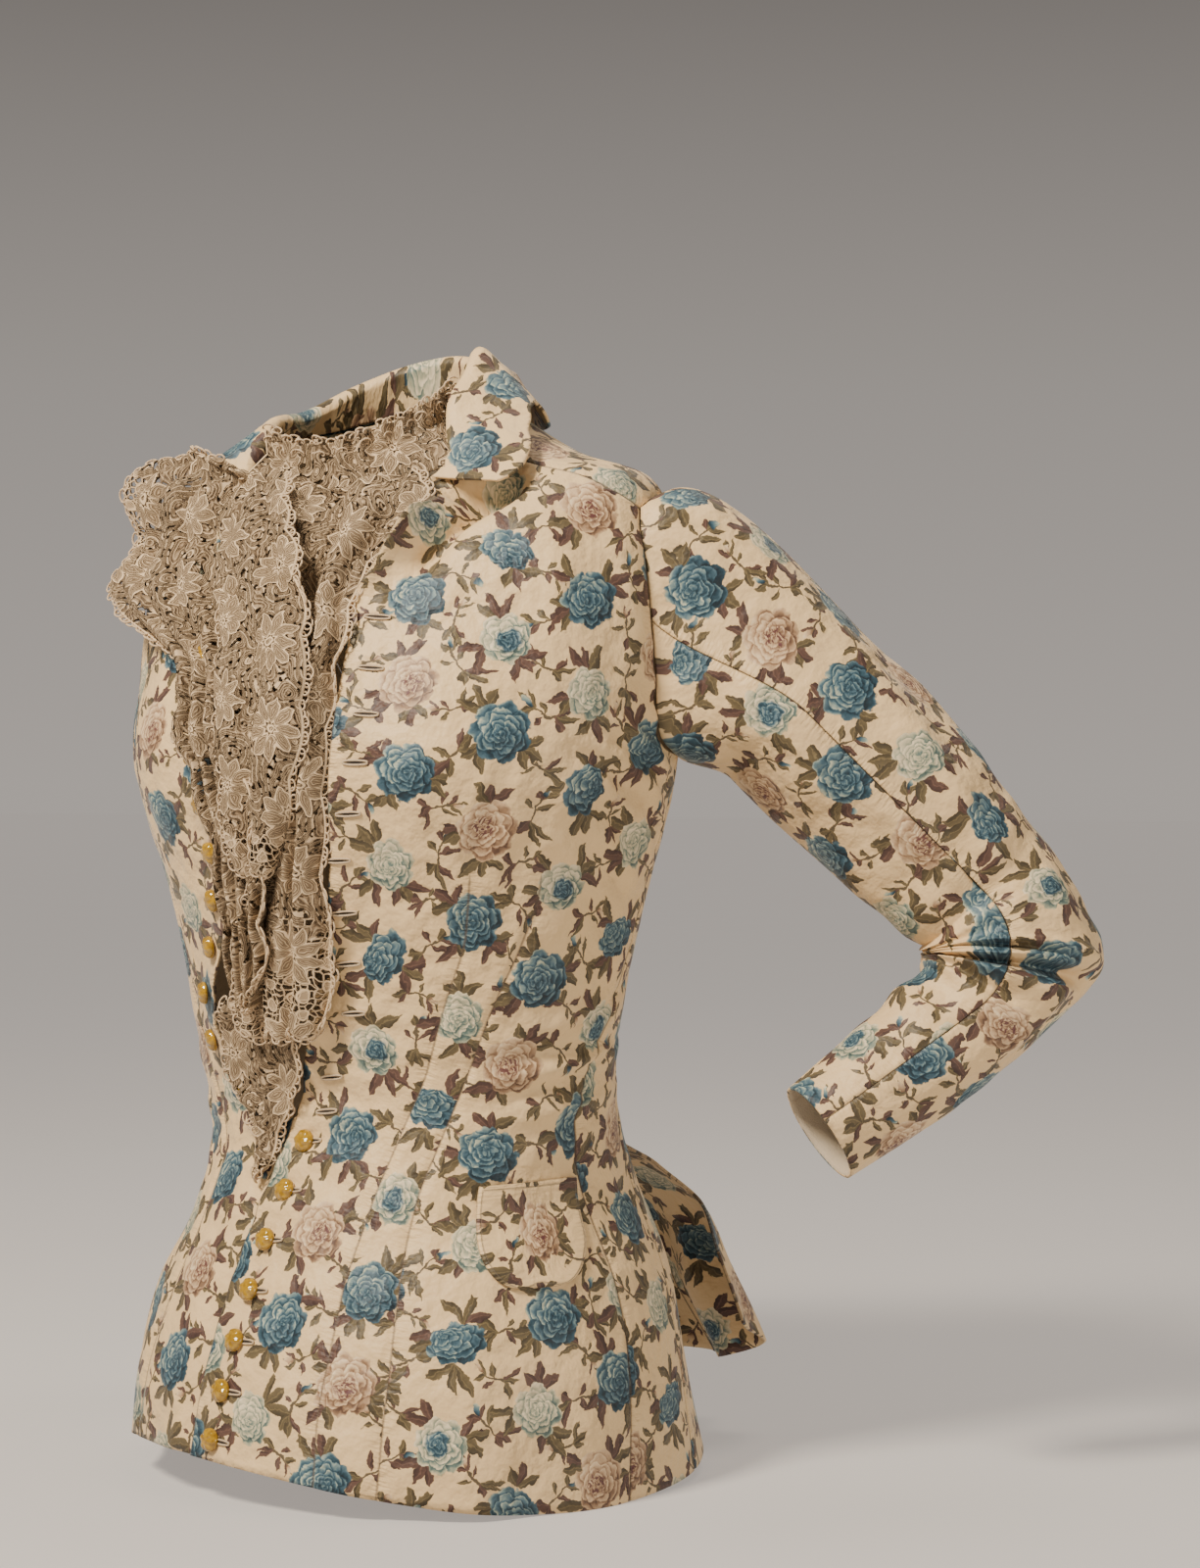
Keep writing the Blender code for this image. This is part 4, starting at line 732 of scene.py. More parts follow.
def sleeve_folds(theta, along):
    """Creases of a worn sleeve in metres, by the angle from the outside of the bend. Two creases
    run from the inside of the bend nearly to its point, the cloth swelling between them.
    Ripples and long folds lie above and below, and SLEEVE_OUTLINE sets how far the outside
    stands off the plain tube."""
    share = ELBOW_SHARES
    across = np.cos(theta)
    inside = np.clip(-across, 0, 1) ** share["inside_power"]
    weights = {"bend": inside, "forearm": inside, "slack": np.abs(np.sin(theta))}
    calm = ease(across * share["calm_across"]) * hill(along, *share["calm_window"])
    folds = 0.0
    for name, (window, per_length, per_turn, phase, height, least) in SLEEVE_RIPPLES.items():
        turn = along * per_length + theta * per_turn + phase
        if name == "bend":
            turn = turn + share["lean"] * across + share["wobble"] * np.sin(theta * 2)
        weight = least + (1 - least) * weights.get(name, 1.0)
        folds = folds + hill(along, *window) * np.sin(turn) * weight * height
    for middle, drift, reach, height in LONG_FOLDS:
        away = np.abs((theta + math.pi) % (2 * math.pi) - math.pi) - middle - drift * along
        folds = folds + hill(away, 0, reach) * hill(along, *LONG_FOLD_WINDOW) * height
    folds = folds * (1 - share["calm"] * calm)
    low = sum(hill(along, middle, reach) * height for middle, reach, height in LOW_FOLDS)
    folds = folds + low * hill(across, *share["low"])
    folds = folds + line_at(SLEEVE_OUTLINE, along) * ease(across, *share["outline"])
    creases = 0.0
    for crease, round_it in ((MAIN_CREASE, ease(-across)), (UPPER_CREASE, across)):
        off = along - crease["at"] - crease["drift"] * round_it
        middle, reach, height = crease["swell"]
        valley = hill(off, 0, *crease["reach"]) * crease["depth"]
        creases = creases + valley - hill(off, middle, reach) * height
    bunched = between(share["least_bunched"], 1.0, ease(across, *share["bunched"]))
    return folds - creases * ease(across, *share["crease_end"]) * bunched


def sleeve_surface(arm, theta, inset, finer_by=1, worn=False):
    """Grid of a sleeve from armhole to cuff at angles theta round it, moved in by inset."""
    centres, radials, sideways, inner_half, outer_half, down, along = arm_rings(arm, finer_by)
    c, s = np.cos(theta), np.sin(theta)
    fold = sleeve_folds(theta[None, :], along[:, None]) if worn else 0.0
    across = np.where(c > 0, outer_half, inner_half) - inset + fold
    deep = (inner_half + outer_half) / 2 * SLEEVE["depth"] - inset + fold
    rings = (centres[:, None] + radials[:, None] * (across * c)[..., None]
             + sideways * (deep * s)[..., None])
    loop = armhole_loop(arm["side"])
    middle = loop.mean(axis=0)
    away = loop - middle
    around = np.unwrap(np.arctan2(away @ sideways, away @ radials[0]))
    order = np.argsort(around)
    start = np.stack([np.interp(theta, around[order], loop[order, axis], period=2 * math.pi)
                      for axis in range(3)], -1)
    start = start - unit(start - middle) * (SLEEVE["worn_inset" if worn else "inset"] + inset)
    head = unit(np.array(SLEEVE["head_out"]) * (arm["side"], 1, 1))
    top_share = (np.clip(c, 0, 1) ** SLEEVE["head_share"])[:, None]
    leave = unit(between(down, head, top_share))
    gap = np.linalg.norm(rings[0] - start, axis=-1, keepdims=True)
    leave, arrive = gap * leave * SLEEVE["head_reach"], gap * down * SLEEVE["arm_reach"]
    cap_rows = SLEEVE["cap_rows"] * finer_by
    cap = [cubic(k / cap_rows, start, leave, rings[0], arrive) for k in range(cap_rows)]
    return np.concatenate([np.array(cap), rings])


def neck_base(angle):
    """Foot of the collar, just off the neckline's edge, and the level way out from it."""
    def edge(turn):
        return torso(turn, neck_row(turn, TOP_ROW + 0 * turn))

    normal = outward(torso, angle, neck_row(angle, TOP_ROW + 0 * angle))
    off = np.cross(normal, unit(edge(angle + 0.5) - edge(angle - 0.5)))
    return edge(angle) + off * NECK_SEAM, unit(normal * (1, 1, 0))


def turned_level(way, turn):
    """Level directions turned about the upright."""
    s, c = np.sin(turn), np.cos(turn)
    return np.stack([way[..., 0] * c - way[..., 1] * s, way[..., 0] * s + way[..., 1] * c, 0 * s], -1)


def collar_surface(angle, share):
    """The collar's face: up the leaning stand inside the neck, over the roll and down the fall."""
    angle, share = np.broadcast_arrays(angle, share)
    table = np.array(COLLAR, float)
    stand, roll, lean, fall, drop, swing = (line_at(table[:, (0, column)], angle)
                                            for column in range(1, len(COLLAR_COLUMNS)))
    foot, way = neck_base((angle + 180) % 360 - 180)
    drop = np.radians(drop)
    step = share * sum(COLLAR_STEPS.values())
    rise = stand * np.clip(step / COLLAR_STEPS["stand"], 0, 1)
    step = step - COLLAR_STEPS["stand"]
    bend = (math.pi / 2 + drop) * np.clip(step / COLLAR_STEPS["roll"], 0, 1)
    run = fall * np.clip((step - COLLAR_STEPS["roll"]) / COLLAR_STEPS["fall"], 0, 1)
    level = roll * (1 - np.cos(bend)) + run * np.cos(drop)
    height = rise + roll * np.sin(bend) - run * np.sin(drop)
    out = turned_level(way, np.radians(swing))
    return foot + out * level[..., None] - way * (rise * lean)[..., None] + UP * height[..., None]


def grid_normals(points):
    down, across = np.gradient(points, axis=0), np.gradient(points, axis=1)
    return unit(np.cross(across, down))


# Meshes

def add_mesh(name, points, faces, smooth=True):
    """A piece at the origin from points and faces, each face a list of point numbers."""
    mesh = bpy.data.meshes.new(name)
    mesh.from_pydata(np.asarray(points, float).reshape(-1, 3).tolist(), [], faces)
    mesh.update()
    if smooth:
        mesh.shade_smooth()
    piece = bpy.data.objects.new(name, mesh)
    bpy.context.scene.collection.objects.link(piece)
    return piece


def trim(name, points, faces, material, slot):
    """A small smooth piece of one material that rides with the jacket."""
    piece = add_mesh(name, points, faces)
    piece.data.materials.append(material)
    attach(piece, "root")
    return piece


def lengths_along(line):
    """Length from the first point of a line to each of its points."""
    return np.concatenate([[0.0], np.cumsum(np.linalg.norm(np.diff(line, axis=0), axis=-1))])


def ring_faces(index):
    """Faces between neighbouring rings of point numbers."""
    after = np.roll(index, -1, axis=1)
    return np.stack([index[:-1], index[1:], after[1:], after[:-1]], -1).reshape(-1, 4)


def wall(name, outer, inner, pattern, materials, marks, faced=None):
    """A closed wall between two grids: the outer faces, the lining's faces and a strip round
    the rim. pattern gives each cell's corner places on the flat cloth, marks are extra values
    at each grid point, by attribute name, and faced says which inner cells have the outer cloth."""
    rows, columns = outer.shape[:2]
    half = rows * columns
    index = np.arange(half).reshape(rows, columns)
    face = corners(index).reshape(-1, 4)
    back = face[:, (0, 3, 2, 1)] + half
    place = pattern.reshape(-1, 4, 2)
    rim_faces, rim_places = [], []
    for line, near in ((index[0], pattern[0, :, 0:2]), (index[:, -1], pattern[:, -1, 1:3]),
                       (index[-1][::-1], pattern[-1, ::-1, 2:4]),
                       (index[::-1, 0], pattern[::-1, 0][:, (3, 0)])):
        one, two = line[:-1], line[1:]
        rim_faces.append(np.stack([two, one, one + half, two + half], -1))
        rim_places.append(near[:, (1, 0, 0, 1)])
    faces = np.concatenate([face, back] + rim_faces)
    places = np.concatenate([place, place[:, (0, 3, 2, 1)]] + rim_places)
    normal = np.cross(outer[0, 1] - outer[0, 0], outer[1, 0] - outer[0, 0])
    if normal @ (outer[0, 0] - inner[0, 0]) < 0:
        faces, places = faces[:, ::-1], places[:, ::-1]
    piece = add_mesh(name, np.concatenate([outer, inner]), faces.tolist())
    cut = piece.data.uv_layers.new(name="cut")
    cut.data.foreach_set("uv", places.reshape(-1).astype(np.float32))
    for material in materials:
        piece.data.materials.append(material)
    kinds = np.zeros(len(faces), np.int32)
    inside = np.ones(len(face), bool) if faced is None else ~faced.reshape(-1)
    kinds[len(face):2 * len(face)] = (len(materials) - 1) * inside
    piece.data.polygons.foreach_set("material_index", kinds)
    for mark, values in marks.items():
        layer = piece.data.attributes.new(mark, "FLOAT", "POINT")
        layer.data.foreach_set("value", np.tile(np.asarray(values, np.float32).reshape(-1), 2))
    return piece


def edge_distance(points, lines=(), ends=True):
    """Distance of each grid point from its row's two ends and from the columns in lines, in metres."""
    run = np.pad(np.cumsum(np.linalg.norm(np.diff(points, axis=1), axis=-1), axis=1), ((0, 0), (1, 0)))
    stops = ((0, points.shape[1] - 1) if ends else ()) + tuple(lines)
    return np.min([np.abs(run - run[:, line:line + 1]) for line in stops], 0)


def sheet_area(points):
    """Area of a grid of points: half the cross product of each cell's diagonals."""
    one, two = points[1:, 1:] - points[:-1, :-1], points[1:, :-1] - points[:-1, 1:]
    return float(np.linalg.norm(np.cross(one, two), axis=-1).sum() / 2)


def declare(piece, node, points):
    """Hangs a cloth piece on the jacket's root and hides the part it stands for. Its width, length and area
    on its grid are measured, but nothing uses them.
    """
    width = float(np.linalg.norm(np.diff(points, axis=1), axis=-1).sum(axis=1).max())
    length = float(np.linalg.norm(np.diff(points, axis=0), axis=-1).sum(axis=0).max())
    area = min(sheet_area(points), width * length)
    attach(piece, "root")
    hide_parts(node)


# The jacket

def roll_in(points, form_normal, distance):
    """Turns a panel's edges in towards its seams as a bell-shaped valley."""
    valley = SEAM_ROLL["depth"] * hill(distance, 0, SEAM_ROLL["reach"])
    return points - form_normal * valley[..., None]


def body_panel(name, form, side, grid, front=False):
    """One panel of the bodice: its fine wall and the flat pattern of its coarse grid. A front
    is cut into strips by its darts, and its free edge isn't turned in."""
    coarse_angles, coarse_rows = grid(1, 1)
    angles, rows = grid(FINE_ROWS, FINE_COLUMNS)
    cells = FRONT_CELLS if front else (coarse_angles.shape[1] - 1,)
    darts = np.cumsum(cells[:-1], dtype=int)
    flat = lay_flat(form(side * coarse_angles, coarse_rows), darts, SKIRT_ROWS.index(DART_JOIN_ROW))
    pattern = cell_pattern(flat, cells, FINE_ROWS, FINE_COLUMNS, cut_place(name, side)) * (side, 1)
    points = form(side * angles, rows)
    normal = outward(form, side * angles, rows)
    # Distance to the side edges, a front's free edge among them, and to the darts: the print paints shadow
    # near them
    seams = distance = edge_distance(points)
    if front:
        distance = np.where(angles > line_at(FIRST_DART, rows), distance, FAR)
        past_top = ease(rows, DART["top_row"], DART["top_fade"]) * DART["past_top"]
        seams = np.minimum(seams, edge_distance(points, darts * FINE_COLUMNS, ends=False) + past_top)
    outer = roll_in(points, normal, distance)
    faced = rows[:-1, :-1] < TAIL["top_row"] if form is tail else None
    node = f"{name}_{'left' if side > 0 else 'right'}"
    piece = wall("cloth_" + node, outer, outer - normal * CLOTH, pattern, (print_cloth, lining),
                 {"seam": seams}, faced)
    declare(piece, node, outer)


def make_bodice():
    for side, form, edge in ((1, worn_left, LEFT_EDGE), (-1, worn_right, RIGHT_EDGE)):
        body_panel("front", form, side, functools.partial(front_grid, edge), front=True)
        body_panel("side", worn_side, side, side_grid)
        body_panel("side_back", worn_side, side, side_back_grid)
        body_panel("back", tail, side, back_grid)


def make_sleeves():
    fine = SLEEVE["fine"]
    pull = SEAM / SLEEVE["elbow_radius"]
    front, back = math.radians(SLEEVE["front_seam"]), math.radians(SLEEVE["back_seam"])
    for name, arm in ARMS.items():
        for half, low, high in (("upper", back - 2 * math.pi, front), ("under", front, back)):
            columns = SLEEVE[half + "_columns"]
            theta = between(low + pull, high - pull, gather(columns, fine))
            even = between(theta[0], theta[-1], np.linspace(0, 1, columns + 1))
            flat = lay_flat(sleeve_surface(arm, even, 0.0)[::-1])
            pattern = cell_pattern(flat, (columns,), fine, fine, cut_place(half))
            outer, inner = (sleeve_surface(arm, theta, inset, fine, worn=True)[::-1]
                            for inset in (0.0, CLOTH))
            towards, distance = unit(outer - inner), edge_distance(outer)
            outer = roll_in(outer, towards, distance * SLEEVE["seam_tightness"])
            node = f"sleeve_{name}_{half}"
            # The seam mark paints shadow along the sleeve's seams, made fainter by seam_fade
            piece = wall("cloth_" + node, outer, outer - towards * CLOTH, pattern,
                         (print_cloth, lining), {"seam": distance + SLEEVE["seam_fade"]})
            declare(piece, node, outer)


def best_turn(here, there):
    """The turn or mirroring of flat points that brings them closest to others, both centred."""
    u, _, v = np.linalg.svd((here - here.mean(axis=0)).T @ (there - there.mean(axis=0)))
    return u @ v


def collar_pattern(face, angles):
    """Flat places of the collar's grid: lengths round the neck and up the fall at the back, and
    at each front flap the flap's own plane, turned and moved to meet the lengths."""
    run = lengths_along(face[len(face) // 4])
    fall = np.linalg.norm(np.diff(face, axis=0), axis=-1).mean(axis=1)
    up = np.concatenate([[0.0], np.cumsum(fall)])[:, None]
    place = np.stack(np.broadcast_arrays(run, up), -1)
    half = len(face) // 2
    reach, blend = COLLAR_FLAP["reach"], COLLAR_FLAP["blend"]
    for from_end in (angles - angles[0], angles[-1] - angles):
        flap, meet = from_end < reach, np.abs(from_end - reach) < blend
        points = face[:half, flap].reshape(-1, 3)
        centre = points.mean(axis=0)
        drawn = (face - centre) @ np.linalg.svd(points - centre, full_matrices=False)[2][:2].T
        if np.cross(drawn[0, -1] - drawn[0, 0], drawn[half, 0] - drawn[0, 0]) < 0:
            drawn = drawn * (1, -1)
        here, there = (grid[:half, meet].reshape(-1, 2) for grid in (drawn, place))
        drawn = (drawn - here.mean(axis=0)) @ best_turn(here, there) + there.mean(axis=0)
        place = between(place, drawn, ease(from_end, reach + blend, -2 * blend)[None, :, None])
    return corners(place) + cut_place("collar")


def make_collar():
    """Rows run from the free edge of the fall back to the foot of the stand, columns round the
    neck. The front flaps' edges stand off the chest."""
    front, back = front_grid(LEFT_EDGE, 1, 1)[0][-1], back_grid(1, 1)[0][-1]
    coarse = np.concatenate([front[:-1], back[:-1], 360 - back[::-1], 360 - front[-2::-1]])
    angles = split(coarse, COLLAR_FINE["columns"])
    share = np.linspace(1, 0, sum(COLLAR_STEPS.values()) * COLLAR_FINE["rows"] + 1)[:, None]
    face = collar_surface(angles[None, :], share)
    flaps = ease(angles, *COLLAR_FLAP["left"])
    flaps = flaps + COLLAR_FLAP["right_share"] * ease(angles, *COLLAR_FLAP["right"])
    off = COLLAR_FLAP["off"] * ease(share, *COLLAR_FLAP["off_share"]) * flaps
    face = face + grid_normals(face) * off[..., None]
    # Distance from the fall's free edge, given as the seam mark: the print paints shadow along that edge
    edge = np.linalg.norm(face - face[:1], axis=-1)
    piece = wall("cloth_collar", face, face - grid_normals(face) * CLOTH, collar_pattern(face, angles),
                 (print_cloth,), {"seam": edge + COLLAR_FLAP["seam_fade"]})
    declare(piece, "collar", face)


def make_pocket():
    """The body form inside a round-bottomed outline, its mouth standing a little proud."""
    fine = FINE_COLUMNS
    share = np.linspace(0, 1, POCKET["rows"] * fine + 1)
    across = np.linspace(-1, 1, POCKET["columns"] * fine + 1)
    rounding = np.sqrt(1 - (1 - np.minimum(share / POCKET["round_share"], 1)) ** 2)
    width = between(POCKET["bottom_share"], 1.0, rounding)
    rows = between(POCKET["bottom_row"], POCKET["mouth_row"], share)[:, None] + 0 * across
    angles = POCKET["centre"] + POCKET["half_width"] * width[:, None] * across
    normal = outward(left_front, angles, rows)
    gape = POCKET["gape"] * ease(share, *POCKET["gape_rows"])[:, None]
    gape = gape * hill(across, *POCKET["gape_across"])
    inner = worn_left(angles, rows) + normal * (POCKET["lift"] + gape)[..., None]
    outer = inner + normal * CLOTH
    low, high = (np.linalg.norm(outer - end, axis=-1) for end in (outer[:1], outer[-1:]))
    low = np.minimum(low, edge_distance(outer))
    rim = np.minimum(low, high)
    outer = outer - normal * (POCKET["turned_in"] * hill(low, 0, POCKET["turned_reach"]))[..., None]
    flat = lay_flat(outer[::fine, ::fine])
    pattern = cell_pattern(flat, (POCKET["columns"],), fine, fine, cut_place("pocket"))
    # The seam mark paints shadow round the pocket's rim; the stitch mark draws its stitching
    piece = wall("cloth_pocket", outer, inner, pattern, (print_cloth, lining),
                 {"seam": rim + POCKET["seam_fade"], "stitch": rim})
    declare(piece, "pocket", outer)


def row_at_height(angle, height):
    """The row at which the form passes a height, at one angle."""
    rows = np.linspace(0, TOP_ROW, HEIGHT_STEPS)
    return float(np.interp(height, torso(angle + 0 * rows, rows)[:, 2], rows))


def button_places():
    """Name, foot and normal of each button from the lowest up; the lowest ones sit fastened on the lap."""
    for k in range(BUTTON["count"]):
        height = BUTTON["lowest"] + BUTTON["pitch"] * k
        closed = k < BUTTON["closed"]
        form = worn_left if closed else worn_right
        angle = BUTTON["lap_angle"]
        row = row_at_height(angle, height)
        if not closed:
            for _ in range(3):
                angle = -float(line_at(RIGHT_EDGE, row)) - BUTTON["edge_angle"]
                row = row_at_height(angle, height)
        place = np.array(angle), np.array(row)
        normal = outward(left_front if closed else right_front, *place)
        seat = BUTTON["closed_seat" if closed else "open_seat"]
        yield f"button_{k + 1:02d}", form(*place) + normal * seat, normal


def round_it(along, out, turn):
    """Directions round an axis: turned from one across it towards the other."""
    return out * np.cos(turn)[..., None] + np.cross(along, out) * np.sin(turn)[..., None]


def make_buttons():
    """Domed moulded buttons: a quarter-circle profile round the normal, pressed into soft petals.
    The lowest ring closes flat and a fan closes the crown."""
    segments = BUTTON["segments"]
    turn = np.linspace(0, 2 * math.pi, segments, endpoint=False)[None, :]
    rise = np.linspace(0, math.pi / 2, BUTTON["rings"] + 1)[:-1, None]
    petal = np.cos(BUTTON["petals"] * turn + rise * BUTTON["petal_twist"]) * np.sin(rise * 2) ** 2
    petal = petal * BUTTON["relief"]
    radii = BUTTON["radius"] * np.cos(rise) ** BUTTON["fullness"] + petal
    heights = BUTTON["height"] * between(BUTTON["girdle"], 1.0, np.sin(rise)) + petal
    foot_radii = np.array(BUTTON["foot_radii"])[:, None] * BUTTON["radius"] + 0 * turn
    foot_heights = np.array(BUTTON["foot_heights"])[:, None] * BUTTON["height"] + 0 * turn
    radii, heights = np.concatenate([foot_radii, radii]), np.concatenate([foot_heights, heights])
    index = np.arange(radii.size).reshape(radii.shape)
    crown = [[a, b, radii.size] for a, b in zip(index[-1].tolist(), np.roll(index[-1], -1).tolist())]
    faces = ring_faces(index)[:, (0, 3, 2, 1)].tolist() + crown + [index[0, ::-1].tolist()]
    for name, foot, normal in button_places():
        side = unit(np.cross(normal, UP))
        points = foot + normal * heights[..., None] + round_it(normal, side, turn) * radii[..., None]
        points = np.concatenate([points.reshape(-1, 3), [foot + normal * BUTTON["height"]]])
        piece = trim("glass_" + name, points, faces, amber_glass, "amber_glass")
        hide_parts(name)


def tube(path, ahead, out, radius, sides):
    """Rings of points round a path."""
    turn = np.linspace(0, 2 * math.pi, sides, endpoint=False)[None, :]
    return path[:, None] + round_it(ahead[:, None], out[:, None], turn) * radius


def across_path(way, ahead):
    """The part of each direction that is square to the way ahead, at unit length."""
    return unit(way - ahead * np.sum(way * ahead, axis=-1, keepdims=True))


def one_mesh(parts):
    """Points and faces of several meshes as one."""
    points, faces, count = [], [], 0
    for part_points, part_faces in parts:
        points.append(part_points.reshape(-1, 3))
        faces.extend((part_faces + count).tolist())
        count += len(points[-1])
    return np.concatenate(points), faces


def make_buttonholes():
    """Each buttonhole is a corded ring, a long loop with round ends, round a near-black sheet that is
    painted shadow in the slit.
    """
    lap, step = BUTTON["lap_angle"], BUTTONHOLE["row_step"]
    places = list(BUTTONHOLES)
    for k in range(BUTTON["closed"]):
        row = row_at_height(lap, BUTTON["lowest"] + BUTTON["pitch"] * k)
        places.append((lap + BUTTONHOLE["past_button"], row))
    turn = np.linspace(0, 2 * math.pi, BUTTONHOLE["steps"], endpoint=False)
    along = np.clip(np.cos(turn) * BUTTONHOLE["squareness"], -1, 1)
    ring = np.arange(BUTTONHOLE["steps"])
    fan = np.stack([ring, np.roll(ring, -1), ring * 0 + len(ring)], -1)
    threads, slit_shadows = [], []
    for angle, row in places:
        per_degree = np.linalg.norm(torso(angle, row) - torso(angle - 1.0, row))
        per_row = np.linalg.norm(torso(angle, row + step) - torso(angle, row - step)) / (2 * step)
        angles = angle - (1 - along) / 2 * BUTTONHOLE["length"] / per_degree
        angles = np.append(angles, angles.mean())
        rows = row + np.append(np.sin(turn), 0.0) * BUTTONHOLE["half_width"] / per_row
        path = worn_left(angles, rows) + outward(left_front, angles, rows) * BUTTONHOLE["off"]
        # A fan over the slit: a near-black sheet painted as the shadow inside it
        slit_shadows.append((path, fan))
        path = path[:-1]
        ahead = unit(np.roll(path, -1, axis=0) - np.roll(path, 1, axis=0))
        out = across_path(path - path.mean(axis=0), ahead)
        index = np.arange(len(path) * BUTTONHOLE["sides"]).reshape(len(path), -1)
        closed = np.concatenate([index, index[:1]])
        rings = tube(path, ahead, out, BUTTONHOLE["thread"], BUTTONHOLE["sides"])
        threads.append((rings, ring_faces(closed)))
    trim("buttonhole_threads", *one_mesh(threads), silk_thread, "print_cotton")
    trim("buttonhole_slit_shadows", *one_mesh(slit_shadows), painted_slit_shadow, "print_cotton")


# Lace

def scalloped(count, place):
    """Half sines in a row, each a scallop."""
    return np.abs(np.sin(math.pi * count * place))


def lace_face(sheet, length, width):
    """Points of a lace sheet: folded along its fall or across it, pleated more finely on top,
    with both long edges and the lower end cut in scallops."""
    drape = LACE_DRAPE
    table = np.array(sheet["rows"], float)[::-1]
    row = np.linspace(table[0, 0], table[-1, 0], length + 1)
    low, high, low_lift, high_lift, fold = (line_at(table[:, (0, column)], row)[:, None]
                                            for column in range(1, table.shape[1]))
    share = np.linspace(0, 1, width + 1)[None, :]
    down = np.linspace(1, 0, length + 1)[:, None]
    size, count = sheet["bite"]
    bites = scalloped(count, down) * size * np.sign(high - low)
    angle = between(low - bites, high + bites, share)
    end = drape["end_lift"] - drape["end_bite"] * scalloped(sheet["end_bites"], share)
    rows = row[:, None] + end * ease(down, *drape["end"])
    lengthwise = sheet["lengthwise"]
    wave = np.cos(2 * math.pi * sheet["folds"] * (down if lengthwise else share) + sheet["phase"])
    lift = between(low_lift, high_lift, share) + fold * wave * (share if lengthwise else 1)
    count, deep = sheet["pleats"]
    drift = sum(size * np.sin(down * turns) for size, turns in drape["pleat_drift"])
    turn = 2 * math.pi * (count * share + drift + sheet["phase"])
    double, phase = drape["pleat_double"]
    pleat = np.sin(turn) + double * np.sin(2 * turn + phase)
    pleat = pleat * deep * between(drape["top_pleat"], 1.0, down)
    height, per_length, per_width = drape["crimp"]
    crimp = np.sin(2 * math.pi * (down * per_length + share * per_width)) * np.sin(math.pi * share) * height
    lobe = hill(down, *drape["lobe_window"]) * drape["lobe"]
    lobe = lobe * (ease(share * 2) if lengthwise else drape["lobe_across"])
    return raised(torso, angle, rows, lift + pleat + crimp + lobe)


def lace_wall(node, face, coarse, cut_at, seam, opened):
    """A lace piece as a thin wall about its face, with the flat pattern of its coarse grid."""
    flat = lay_flat(coarse)[0]
    place = finer(flat, *(np.linspace(0, coarse.shape[axis] - 1, face.shape[axis]) for axis in (0, 1)))
    half = grid_normals(face) * LACE / 2
    piece = wall("tape_" + node, face + half, face - half, corners(place) + np.array(cut_at),
                 (tape_lace,), {"seam": seam, "open": opened})
    declare(piece, node, face)


def lace_sheet(node, sheet):
    """One sheet of the jabot; gives the run of its free edges, the way in and the way out of it.
    open is the middle and reach down the sheet, and the first share across it, of its open
    ground of rings."""
    cells = sheet["cells"]
    face = lace_face(sheet, *(count * LACE_FINE for count in cells))
    to_sides = edge_distance(face, (face.shape[1] - 1,), ends=sheet["lengthwise"])
    seam = np.minimum(to_sides, np.linalg.norm(face - face[:1], axis=-1))
    middle, reach, first = sheet["open"]
    down, across = np.linspace(1, 0, len(face))[:, None], np.linspace(0, 1, face.shape[1])[None, :]
    opened = hill(down, middle, reach) * ease(across, first, LACE_DRAPE["open_fade"])
    lace_wall(node, face, lace_face(sheet, *cells), sheet["cut_at"], seam, opened)
    normals, sewn = grid_normals(face), EDGING["sewn_in"]
    edge, upright = (np.concatenate([grid[::-1, 0], grid[0], grid[:, -1]]) for grid in (face, normals))
    within = np.concatenate([face[::-1, sewn], face[sewn], face[:, -1 - sewn]])
    return edge, within - edge, upright


def looped_edging(name, edges):
    """A thin cord sewn along lace edges in small loops: a point rolls round a circle as it moves
    along the edge, further back than forward, so that each turn crosses itself."""
    sides = EDGING["sides"]
    parts = []
    for edge, inwards, upright in edges:
        run = lengths_along(edge)
        loops = int(run[-1] / EDGING["pitch"])
        place = np.linspace(0, run[-1], loops * EDGING["steps"] + 1)
        line, inward, up = (np.stack([np.interp(place, run, values[:, axis]) for axis in range(3)], -1)
                            for values in (edge, inwards, upright))
        turn = (2 * math.pi * loops * place / run[-1])[:, None]
        ahead = unit(np.gradient(line, axis=0))
        uneven = sum(size * np.sin(turn * pace + phase) for size, pace, phase in EDGING["uneven"])
        radius = EDGING["radius"] * (1 + uneven)
        path = (line - across_path(inward, ahead) * radius * (EDGING["stand_off"] - np.cos(turn))
                - ahead * radius * EDGING["back_swing"] * np.sin(turn)
                + up * radius * EDGING["lift"] * np.sin(turn / 2))
        way = unit(np.gradient(path, axis=0))
        index = np.arange(len(path) * sides).reshape(-1, sides)
        ends = [ring[list(four)] for ring in (index[0, ::-1], index[-1]) for four in HEXAGON_HALVES]
        faces = np.concatenate([ring_faces(index), ends])
        parts.append((tube(path, way, unit(np.cross(way, up)), EDGING["thread"], sides), faces))
    trim(name, *one_mesh(parts), lace_cord, "lace")


def make_jabot():
    looped_edging("lace_edge_cord", [lace_sheet(node, sheet) for node, sheet in LACE_SHEETS.items()])


